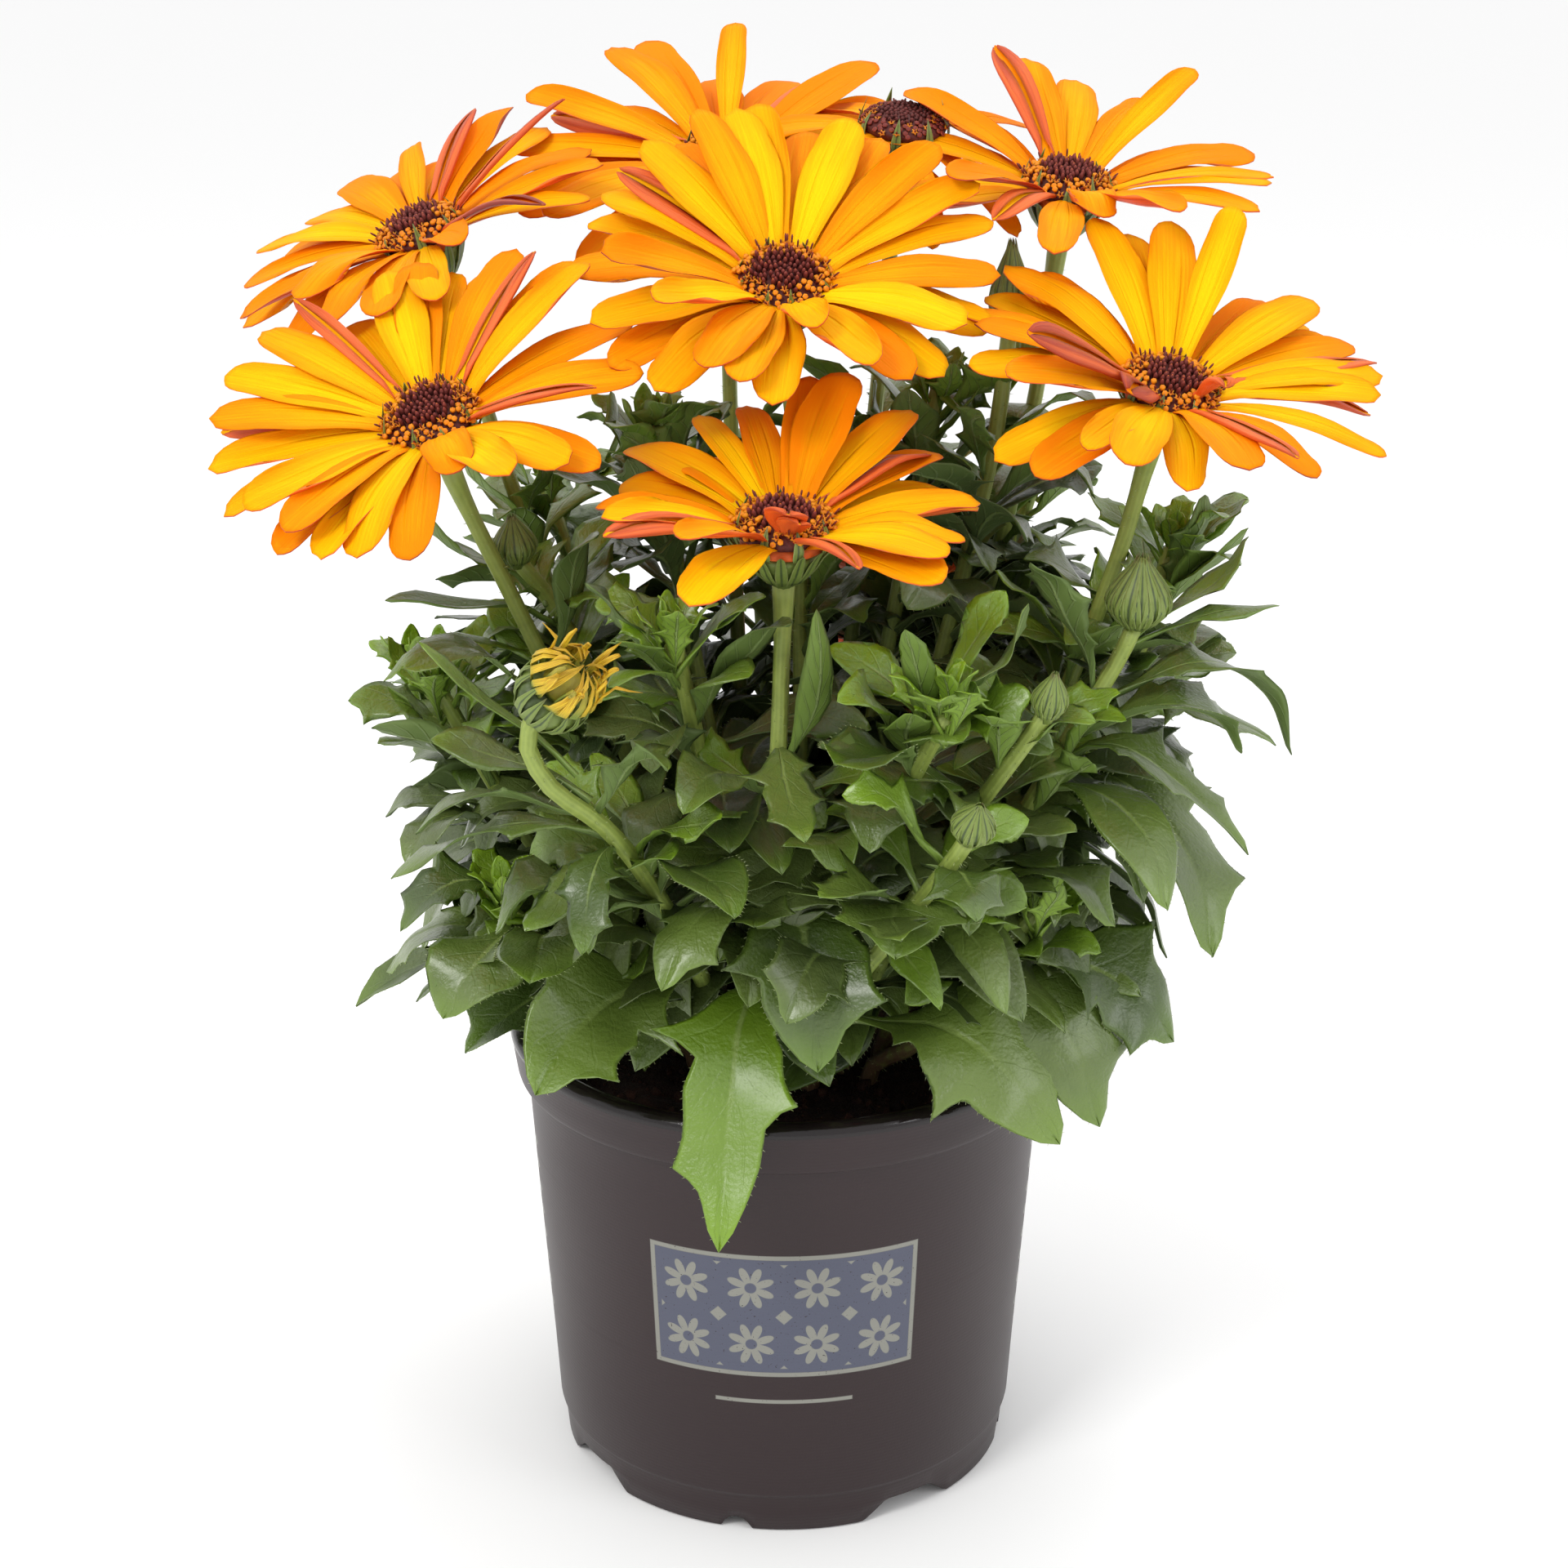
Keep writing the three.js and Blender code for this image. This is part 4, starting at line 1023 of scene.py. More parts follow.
BLOOMS = {
    "centre": BloomSpec((0, -13, 229), 0, 59, 38, 8.8, [
        (12, 16), (21, 17), (40, 19), (52, 8), (64, 8), (71, 16), (84, 12, 36), (97, 18), (105, 22),
        (116, 25), (121, 9), (131, 20), (142, 12, 38, 9, 60), (149, 10), (155, -3), (178, 8), (200, 29, 36),
        (208, 14), (220, 6), (229, 32, 38), (236, 11), (247, 24), (258, 18), (266, 14), (285, 30, 28),
        (294, 19), (303, 12), (315, 8), (328, 20), (341, 6), (353, 15)]),
    "left": BloomSpec((-59, -31, 209), -26, 61, 38, 8.8, [
        (0, 20, 36, 8, 50), (20, 8), (44, 6), (56, 20), (67, 16), (77, 22, 36, 8, 50), (87, 18), (98, 4),
        (110, 9), (119, 12), (127, 15), (141, 1), (156, 22, 38, 6, 60), (166, 19), (185, 16),
        (193, 3, 38, 10, 50), (201, 15), (212, 5), (232, 2), (246, 14), (256, 3), (262, 13), (271, 5),
        (282, 10), (293, 7), (313, 26, 27), (325, 18), (340, 13), (348, 4)]),
    "right": BloomSpec((65, -26, 213), 25, 66, 38, 9.0, [
        (3, 8), (12, 0, 39), (22, 14, 38.5, 9.5), (21, 2, 38, 6), (35, 4, 36), (50, 34, 39, 6.5),
        (57, 8, 36), (65, 26), (75, 18, 37), (91, 23, 38, 9.6), (104, 4, 36), (115, 14, 38, 10),
        (128, 4, 36), (144, 7), (156, 14, 36), (170, 10, 37), (183, 30, 37, 12, 50), (188, 18, 38.5, 10.5),
        (192, -5, 38.5), (205, -1, 39, 9.5), (217, 10, 35, 8), (228, 14, 38.5, 9.6), (245, 10, 33, 8),
        (257, 20), (271, 21, 38.5, 9, 50), (285, 12, 34, 8), (312, 10, 38.5, 6), (335, 12, 36),
        (349, 13, 38.5), (354, 8, 39, 11, 50), (347, -2, 38.5, 11, 50), (207, 30, 17, 12, 50),
        (290, 62, 15, 10, 50)]),
    "front": BloomSpec((0, -54, 196), 3, 78, 35, 9.2, [
        (2, 8, 32), (17, -3, 33.5), (28, -5, 33.5, 11), (37, 6), (43, 12, 34, 9, 50), (51, 18, 36, 10.5),
        (66, 29, 36, 10), (81, 26, 36, 6.5), (88, -3, 32), (100, 13, 35, 6.5), (111, 14, 35, 6.5),
        (126, 6, 34), (136, 6, 35.5, 11), (146, 0, 32.5, 10.5), (182, 9, 30.5), (199, 16, 32),
        (210, 17, 34, 10, 50), (234, 23, 31, 10), (243, 7, 35, 11), (271, 52, 17, 12, 50),
        (280, 46, 15, 10, 50), (289, 20, 34, 9, 50), (312, 8, 35, 11), (318, 16, 34, 11), (337, 14, 31.5)]),
    "right_back": BloomSpec((51, 18, 241), 21, 75, 38, 8.6, [
        (0, 12), (12, 3), (27, 29, 38, 6), (41, 14), (52, 2), (64, 15), (79, 20), (95, 31, 38, 10, 60),
        (108, 2), (122, 12), (140, 4), (172, -4), (196, 2), (206, 18, 36), (220, 12, 32, 9, 50), (240, 5),
        (261, 22, 24), (278, 16, 34), (306, 13), (322, 20, 38, 6), (345, 6)], 0.35),
    "back": BloomSpec((-11, 39, 243), 0, 66, 41, 9.0, [
        (14, 2), (25, -8), (36, -6), (46, 8), (58, 0, 41, 12, 60), (72, -8), (87, 10, 41, 6), (95, -4, 36),
        (112, 9), (125, 12), (137, -5), (150, -2, 38, 12, 60), (159, 8), (171, 1), (185, -4), (203, 2),
        (219, 9), (232, -5), (247, 3), (262, -10), (281, -6), (305, -8), (330, -6), (352, -4)], 0.45),
    "left_back": BloomSpec((-66, 22, 232), -56, 66, 37, 8.8, [
        (15, 14, 37, 10, 50), (30, 3), (48, 4), (60, 26, 37, 10, 50), (84, 2), (104, 6), (116, 11),
        (127, 17, 37, 9, 60), (139, -1), (150, 9, 37, 6), (159, 2), (173, 8), (189, 5), (202, 0), (213, 8),
        (227, 2), (240, -4), (253, 3), (266, 6), (277, -2), (288, 17, 32), (302, 8), (319, 4), (336, 2),
        (350, 10, 24)], 0.4),
    "spent": BloomSpec((22, 33, 250), 20, 75, 33, 7.4, [
        (16, -8), (40, -15), (66, -20), (104, -19), (140, -18), (168, -6), (196, -10), (222, -14),
        (262, -22), (292, -20), (318, -16)], 1.0),
    "rear": BloomSpec((27, 62, 153), 160, 38, 34, 8.8, [
        (4, 12), (18, 4), (32, 6), (46, 12), (60, 16), (74, 11), (87, 8), (101, 4), (115, 18), (129, 12),
        (143, 6), (157, 4), (170, 14), (184, 10), (198, 8), (212, 4), (226, 16), (240, 9), (253, 4),
        (267, 7), (281, 12), (295, 5), (309, 8), (322, 12), (336, 16)], 0.1),
}


@dataclass(frozen=True)
class StemSpec:
    """A stem: its path from the soil up, and its leaves.

    A leaf is its height on the stem, its tip, width, arch, roll and edge, and where it lies turned
    on the rim its own turn and age. `spray` counts the leaves of the spiral rule up to `leaf_top`.
    """

    via: Sequence[Row]
    leaf_top: float
    spray: int
    leaves: Sequence[tuple] = ()
    end: Row | None = None


STEMS = {
    "centre": StemSpec([(2, 0), (3, 1, 125), (3, 0, 165), (2.2, -4, 198)], 178, 5, [
        (168, (-4, 5, 196), 9, 3, 0, A), (174, (9, 7, 202), 9, 3, 0, B)]),
    "left": StemSpec([(-13, -8), (-22, -10.5, 105), (-34, -14, 140), (-45, -17, 168)], 158, 5, [
        (162, (-33, -27, 190), 9, 3, -20, E), (156, (-64, -40, 171), 13, 4, 20, E)]),
    "right": StemSpec([(21, -8), (32, -11, 110), (47, -15.5, 148), (58, -19, 181)], 170, 5, [
        (106, (64, -8, 92), 18, 10, 0, B)]),
    "front": StemSpec([(-3, -18), (-3, -28, 102), (-2.5, -43, 130), (-1, -54, 158)], 152, 2, [
        (158, (3, -80, 151), 9, 5, 0, B), (126, (14, -65, 101), 21, 9, 0, A, -14, 0.15),
        (108, (-11, -66, 72), 17, 15, 10, B, 8, 0.55), (150, (-16, -73, 156), 11, 4, 20, E),
        (154, (6, -67, 186), 6, -3, 0, E), (120, (-9, -77, 119), 12, 7, 0, A)]),
    "right_back": StemSpec([(15, 8), (21, 10, 110), (35, 15, 155), (46, 19, 200)], 185, 4, [
        (150, (12, 30, 174), 13, 3, 20, E), (158, (40, 34, 184), 13, 3, 0, A),
        (140, (54, 34, 162), 14, 4, 0, E), (144, (28, 32, 160), 14, 3, 0, A),
        (132, (40, 34, 146), 15, 4, 0, E)]),
    "back": StemSpec([(-6, 19), (-7, 24, 108), (-9, 34, 150), (-10.5, 43, 200)], 190, 5),
    "left_back": StemSpec([(-16, 11), (-22, 13, 108), (-38, 18, 148), (-54, 23, 194)], 180, 6),
    "spent": StemSpec([(5, 13), (8, 16, 105), (13, 25, 155), (18, 33, 205)], 196, 5),
    "rear": StemSpec([(10, 28), (12, 34, 96), (16, 42, 116), (20, 47.5, 132)], 118, 2, [
        (98, (31, 62, 84), 17, 9, 0, B)]),
    "bud_yellow": StemSpec([
        (-9, -19), (-13, -29, 102), (-20, -49, 128), (-29, -65, 149), (-38, -71, 159),
        (-41, -73, 167)], 146, 0, [
        (101, (-43, -57, 93), 21, 9, 32, A, 46, 0.2), (151, (-61, -67, 151), 9, 4, -15, A),
        (147, (-66, -60, 139), 9, 6, 0, B), (144, (-32, -83, 134), 8, 5, 0, A),
        (153, (-18, -75, 165), 10, 3, 20, B), (155, (-57, -67, 166), 9, 2, 20, E),
        (160, (-58, -67, 182), 6, 0, 0, E), (136, (-41, -76, 134), 9, 5, 10, E),
        (132, (-7, -80, 141), 13, 6, 15, E), (130, (-49, -66, 133), 14, 5, -10, E)], (-38.6, -75.1, 173.2)),
    "bud_onion": StemSpec([
        (18, -14), (24, -20, 102), (38, -32, 132), (49, -39, 156), (57, -40, 171)], 150, 0, [
        (172, (85, -31, 177), 6, 3, 0, E), (168, (80, -33, 183), 6, 1, 0, E),
        (160, (91, -31, 152), 10, 13, 0, A), (156, (80, -42, 157), 15, 6, 15, B),
        (150, (79, -46, 137), 11, 10, -10, A), (146, (66, -62, 135), 14, 7, 0, E),
        (164, (42, -50, 192), 8, 0, 0, B), (154, (30, -61, 158), 9, 5, 0, E)], (59.5, -40, 177)),
    "bud_lime": StemSpec([(-11, 0), (-19, -1, 108), (-31, -4, 146), (-42, -9, 172)], 176, 5, [
        (168, (-69, -26, 178), 7, 1, 0, E), (162, (-70, -31, 167), 6, 3, 0, E),
        (174, (-64, -21, 190), 7, 0, 0, E)], (-47.3, -14.3, 181)),
    "bud_dark": StemSpec([(11, 0), (17, 1, 112), (29, 2, 158), (38, 1.5, 200)], 205, 6, [
        (160, (20, 24, 178), 12, 3, 0, E), (172, (47, 27, 190), 12, 3, 0, A),
        (152, (46, 22, 168), 13, 3, 0, E)], (40, 0.5, 219)),
    "bud_side": StemSpec([(11, -17), (16, -27, 106), (27, -44, 136), (38, -60, 160)], 164, 3, [
        (128, (58, -54, 130), 13, 6, 0, A), (122, (38, -68, 119), 9, 6, 0, E)], (42.5, -65, 169)),
    "bud_low": StemSpec([(5, -24), (9, -35, 103), (18, -56, 126), (27, -75, 147)], 150, 2, [
        (140, (31, -86, 142), 11, 5, 10, A), (126, (18, -77, 131), 20, 8, 10, B),
        (122, (26, -72, 120), 7, 5, 0, E), (101, (49, -54, 86), 20, 10, 0, A, -50, 0.2)], (29.5, -79, 153)),
    "shoot_mid": StemSpec([(4, -9), (9, -20, 108), (17, -44, 140)], 168, 7, [
        (156, (8, -79, 166), 15, 2, 10, E), (160, (19, -76, 187), 6, 0, 0, E),
        (150, (41, -62, 184), 12, 4, 0, A)], (26, -69, 170)),
    "shoot_left": StemSpec([(-7, -8), (-9, -18, 112), (-13, -36, 144)], 176, 7, [
        (168, (-28, -69, 177), 6, 2, 0, E), (164, (-31, -54, 189), 8, 0, 0, A),
        (160, (0, -62, 186), 9, 2, 0, E)], (-18, -55, 178)),
    "shoot_right": StemSpec([(19, -1), (30, -3, 106), (46, -6, 132), (63, -9, 160)], 180, 6, [
        (168, (81, -22, 188), 6, 1, 0, E), (172, (74, -22, 193), 8, 0, 0, A),
        (148, (86, -20, 147), 13, 10, 0, B), (138, (78, -40, 117), 19, 10, 0, A)], (69, -10, 182)),
    "shoot_top_left": StemSpec([(-6, 6), (-9, 7, 112), (-16, 8, 152)], 196, 7, [
        (186, (-13, 2, 207), 9, 2, 10, A, 10, 0.4), (180, (-10, 8, 205), 10, 2, -10, B, -10, 0.3),
        (176, (-32, 10, 206), 9, 2, 15, A, 15, 0.4), (170, (-6, 0, 200), 10, 3, 20, E),
        (190, (-20, -6, 209), 8, 1, 0, A, 0, 0.5), (166, (-28, -8, 196), 10, 3, -15, B)], (-24, 8, 198)),
    "shoot_top_right": StemSpec([(8, 6), (11, 7, 112), (19, 9, 156)], 204, 6, [
        (180, (15, 8, 208), 10, 3, 10, A), (188, (22, 2, 207), 9, 2, 0, E, 0, 0.3),
        (174, (10, 4, 199), 10, 3, 0, B)], (28, 11, 206)),
    "shoot_far_left": StemSpec([(-19, -1), (-30, -4, 102), (-46, -8, 124)], 154, 8, (), (-62, -13, 156)),
    "low_left": StemSpec([(-17, -14), (-25, -19, 94), (-38, -26, 108)], 118, 1, [
        (118, (-60, -50, 109), 17, 5, 15, E), (112, (-73, -32, 112), 17, 5, 0, A),
        (102, (-79, -24, 100), 13, 8, 0, E), (100, (-57, -34, 94), 17, 6, 10, B),
        (96, (-46, -55, 105), 18, 9, 10, A), (114, (-42, -69, 121), 15, 6, 0, E),
        (120, (-67, -41, 121), 10, 8, 20, B)], (-49, -33, 122)),
    "low_right": StemSpec([(16, -21), (24, -27, 93), (34, -33, 108)], 118, 2, [
        (104, (57, -48, 86), 19, 13, 10, A, -42, 0.15),
        (110, (72, -36, 98), 19, 7, 10, B, -46, 0.15)], (44, -39, 124)),
    "back_left": StemSpec([(-13, 17), (-20, 24, 102), (-33, 38, 134)], 176, 8, [
        (100, (-52, 44, 88), 18, 10, 0, B)], (-47, 51, 178)),
    "back_right": StemSpec([(15, 18), (21, 25, 102), (35, 38, 136)], 180, 8, [
        (100, (50, 46, 88), 18, 10, 0, A)], (50, 49, 182)),
    "back_mid": StemSpec([(0, 26), (0, 36, 102), (-3, 52, 130)], 164, 8, (), (-6, 68, 166)),
    "right_low": StemSpec([(22, 6), (33, 10, 98), (52, 16, 120)], 146, 7, [
        (100, (62, 30, 84), 19, 10, 0, A)], (72, 21, 148)),
    "left_low": StemSpec([(-22, 7), (-32, 11, 98), (-51, 17, 120)], 146, 7, [
        (100, (-63, 28, 84), 19, 10, 0, B)], (-70, 22, 148)),
    "back_low": StemSpec([(-8, 31), (-14, 42, 96), (-24, 58, 110)], 128, 5, [
        (98, (-30, 66, 80), 18, 12, 0, A)], (-34, 72, 130)),
}


@dataclass(frozen=True)
class BudSpec:
    """A shut bud: its length, greatest radius and facing, and how many scales show round it."""

    long: float
    wide: float
    heading: float
    rise: float
    scales: int


BUDS = {
    "bud_onion": BudSpec(13, 5.6, 10, 80, 14),
    "bud_lime": BudSpec(9, 3.8, -20, 80, 11),
    "bud_dark": BudSpec(17, 3.6, 0, 86, 10),
    "bud_side": BudSpec(8, 2.8, 30, 75, 10),
    "bud_low": BudSpec(8, 3.4, 20, 60, 10),
}

# Places that stay in sight from the front, each with the radius kept clear before it.
SHOWN = (((-35, -78, 178), 11), ((60, -40, 183), 9), ((30, -79, 157), 5), ((43, -65, 173), 5),
         ((-2, -54, 158), 4), ((-1, -54, 168), 4), ((-1, -54, 178), 4), ((-1, -54, 187), 5),
         ((-50, -20, 180), 4), ((-46, -18, 170), 4), ((61, -21, 190), 4))
TO_VIEWER = np.array([0.0, -0.943, 0.334])

# Rings round the pot and the peat that leaves stay over: a height, and the radii it holds between.
KEPT_OVER = ((91.5, 42, 56), (84.5, -1, 42), (75, -1, 60), (66, -1, 200))

# No filling leaf hangs down in front: its tip doesn't lie both before and under these.
BARE_FRONT, BARE_UNDER = -46, 110

# The turns and rises that the solids try in this order to bring a leaf clear of the others, and how
# close its tip then lies to a corner of the solid.
BENDS = ((0, 0), (6, 0), (-6, 0), (0, 4), (0, -4), (12, 2), (-12, 2), (12, -4), (-12, -4), (18, 6), (-18, 6),
         (0, 9), (24, -3), (-24, -3), (30, 8), (-30, 8))
SAME = 0.06


def solid_points(node: str) -> Cell:
    """The corners of a solid of the frame, in millimetres.

    Args:
        node: The solid's name.

    Returns:
        One point a row.
    """
    mesh = frame["nodes"][node].data
    found = np.zeros(len(mesh.vertices) * 3, np.float32)
    mesh.vertices.foreach_get("co", found)
    return found.reshape(-1, 3) / MM


def hides(spot: Cell, at: Row, wide: float) -> bool:
    """Whether any of some points stands before a place, close to the line from it to the viewer.

    Args:
        spot: The points.
        at: The place.
        wide: How close to the line.

    Returns:
        True where one does.
    """
    gap = spot - np.array(at, float)
    ahead = gap @ TO_VIEWER
    off = np.linalg.norm(gap - ahead[..., None] * TO_VIEWER, axis=-1)
    return bool(np.any((ahead > 0) & (off < wide)))


# ---- blades


def rolled(side: Cell, normal: Cell, degrees: Cell) -> tuple[Cell, Cell]:
    """A side and a normal turned together about the way that they are square to."""
    r = np.radians(degrees)[..., None]
    return side * np.cos(r) + normal * np.sin(r), normal * np.cos(r) - side * np.sin(r)


@dataclass
class Petal:
    """A ray petal from under the disc's edge out.

    Its midline is a quadratic curve. Each column across runs to its own length, so the end is a
    half ellipse with two small notches. Across it is an arc of half angle `bend`: half sin(bend u) /
    bend wide and half (1 - cos(bend u)) / bend high, in a rolled petal nearly shut and pressed flat.
    Two grooves run along it, and it sways, twists and curls a little.
    """

    seat: Seat
    angle: float
    lift: float
    length: float
    width: float
    roll: float
    root_at: float
    sunk: float = 0.9
    bow: float = 1.6
    thick: float = 0.42
    claw: float = 0.36
    age: float = 0.0
    chance: float = 0.5
    sway: float = 1.0

    ACROSS = np.sin(np.linspace(-np.pi / 2, np.pi / 2, 11))
    ROLLED = np.linspace(-1, 1, 15)
    ALONG = np.array([0, 0.05, 0.12, 0.2, 0.3, 0.41, 0.52, 0.63, 0.73, 0.82, 0.9, 0.95, 1.0])

    def curve(self) -> tuple[Cell, Cell, Cell, Cell]:
        """Works out the midline.

        Returns:
            Its root, middle and tip, and the level way out.
        """
        lift, face = math.radians(self.lift), self.seat.out
        out = self.seat.spoke(np.radians(self.angle))
        reach = self.length - self.root_at
        root = self.seat.at + out * self.root_at - face * self.sunk
        tip = self.seat.at + out * (self.root_at + reach * math.cos(lift)) + face * (reach * math.sin(lift))
        return root, (root + tip) / 2 + face * (2 * self.bow), tip, out

    def grow(self, skin: Skin, finish: tuple[int, int] = (0, 1)) -> None:
        """Adds the petal: half width claw + (1 - claw) smooth(s / 0.66), and an elliptic end.

        Args:
            skin: The mesh to add to.
            finish: The numbers of the upper and the lower finish.
        """
        luck = draws(self.angle * 131 + self.lift * 17 + self.seat.at[0] * 3 + 5000)
        sway, curl, wave, phase, twist, blunt = (next(luck) - 0.5 for _ in range(6))
        shut = self.roll > 0
        across = self.ROLLED if shut else self.ACROSS
        s, u = self.ALONG[:, None], across[None]
        lines = np.exp(-(((np.abs(u) - 0.36) / 0.15) ** 2))
        end = 0.04 if shut else (0.8 + 0.3 * blunt) * self.width / (self.length - self.root_at)
        reach = 1 - end * (1 - np.sqrt(1 - u**2 + 1e-9)) - lines * (0.018 if wave > 0.15 else 0.006)
        t = s * (1 + (reach - 1) * smooth(s / 0.98) ** 1.5)
        root, middle, tip, out = self.curve()
        level = unit(np.cross(out, self.seat.out))
        normal = unit(np.cross(level, bezier_way(root, middle, tip, t)))
        side, normal = rolled(level, normal, self.roll * 0.4 * t + self.sway * 24 * twist * t * t)
        half = self.width / 2 * (self.claw + (1 - self.claw) * smooth((s + 0.04) / 0.66) ** 0.85)
        half = half * (1 - 0.1 * smooth((s - 0.72) / 0.28))
        bend = (0.3 + 0.9 * max(0.0, curl)) * (1.06 - 0.3 * s)
        if shut:
            half = half * np.sqrt(np.clip(1 - (np.maximum(s - 0.66, 0) / 0.345) ** 2, 0, 1))
            bend = 3.0
        bend = bend * smooth((s + 0.08) / 0.3)
        flat = 0.75 * smooth(s / 0.3) * shut
        groove = 0.2 * lines * smooth(s / 0.15) * smooth((1.02 - s) / 0.35)
        height = half * (1 - flat) * (1 - np.cos(bend * u)) / bend - groove
        height = height - 0.7 * (1 - smooth(s / 0.3)) * u**2
        ruffle = 0.7 * wave * np.sin(7 * s + 6 * phase + 1.5 * u) * np.abs(u) ** 1.5 * s
        tip_curl = 3.2 * curl * smooth((s - 0.45) / 0.55) ** 2 * (1.0 if curl > 0 else 1.5)
        height = (height + self.sway * (ruffle + tip_curl))[..., None]
        wide = (half * (1 + flat) * np.sin(bend * u) / bend)[..., None]
        shift = (self.sway * 2.6 * sway * np.sin(np.pi * 0.6 * s))[..., None]
        spot = bezier(root, middle, tip, t) + level * shift + side * wide + normal * height
        body = self.thick / 2 * np.sqrt(np.clip(1 - u**2, 0, 1)) * (1.3 - 0.7 * s)
        inward = ((1 - flat) * np.sin(bend * u))[..., None]
        lift = unit(normal * ((1 + flat) * np.cos(bend * u))[..., None] - side * inward) * body[..., None]
        skin.blade(spot + lift, spot - lift, across, self.ALONG, finish, (self.age, self.chance))


def sliver(skin: Skin, seat: Seat, angle: float, track: Sequence[Row], width: float, chance: float,
           finish: int = Green.BRACT, swirl: float = 0.0) -> None:
    """Adds a slim pointed scale or strap that lies along a track round an axis.

    Args:
        skin: The mesh to add to.
        seat: The axis's foot and ways.
        angle: Where it stands round the axis, in degrees.
        track: Radius and height at even steps from its foot to its tip.
        width: Its greatest width.
        chance: Its chance value.
        finish: The finish's number.
        swirl: How far it turns round the axis on its way, in degrees.
    """
    fine, u = np.linspace(0, 1, 9), np.array([-1, -0.6, 0, 0.6, 1])
    even = np.linspace(0, 1, len(track))
    radius, height = (np.interp(fine, even, part) for part in np.array(track, float).T)
    turned = np.radians(angle + swirl * fine)
    line = seat.place(radius, height, turned)
    side = np.cross(seat.out, seat.spoke(turned))
    normal = unit(np.cross(unit(np.gradient(line, axis=0)), side))[:, None]
    half = width / 2 * np.sqrt(np.clip(1 - (2 * np.abs(fine - 0.42)) ** 2.2, 0, 1)) * (1 - 0.55 * fine) + 0.05
    fine, half = fine[:, None], half[:, None]
    spot = line[:, None] - side[:, None] * (u * half)[..., None] - normal * (0.3 * half * u**2)[..., None]
    out = normal * (0.22 * np.sqrt(1 - u**2) * (1.1 - fine))[..., None]
    skin.blade(spot + out, spot - out, u, fine[:, 0], (finish, finish), (0.4, chance))


def bristle(skin: Skin, at: Cell, axis: Cell, way: Cell, long: Cell) -> None:
    """Adds slim three-sided spikes on a part.

    Args:
        skin: The mesh to add to.
        at: Their places.
        axis: The way that each points.
        way: The way that the part runs at each.
        long: Their lengths.
    """
    axis = unit(axis)
    across = unit(np.cross(axis, way))
    a, luck = circle(3), long * 7.3 % 1
    spike = np.vstack([np.column_stack([0.06 * np.cos(a), 0.06 * np.sin(a), 0 * a]), [0, 0, 1]])
    faces = np.array([[0, 1, 3, -1], [1, 2, 3, -1], [2, 0, 3, -1], [0, 2, 1, -1]])
    skin.scatter(Shape(spike, faces, luck[:, None]), at, np.stack([across, np.cross(axis, across), axis], 1),
                 np.column_stack([np.ones((len(long), 2)), long]), luck, Green.HAIR)


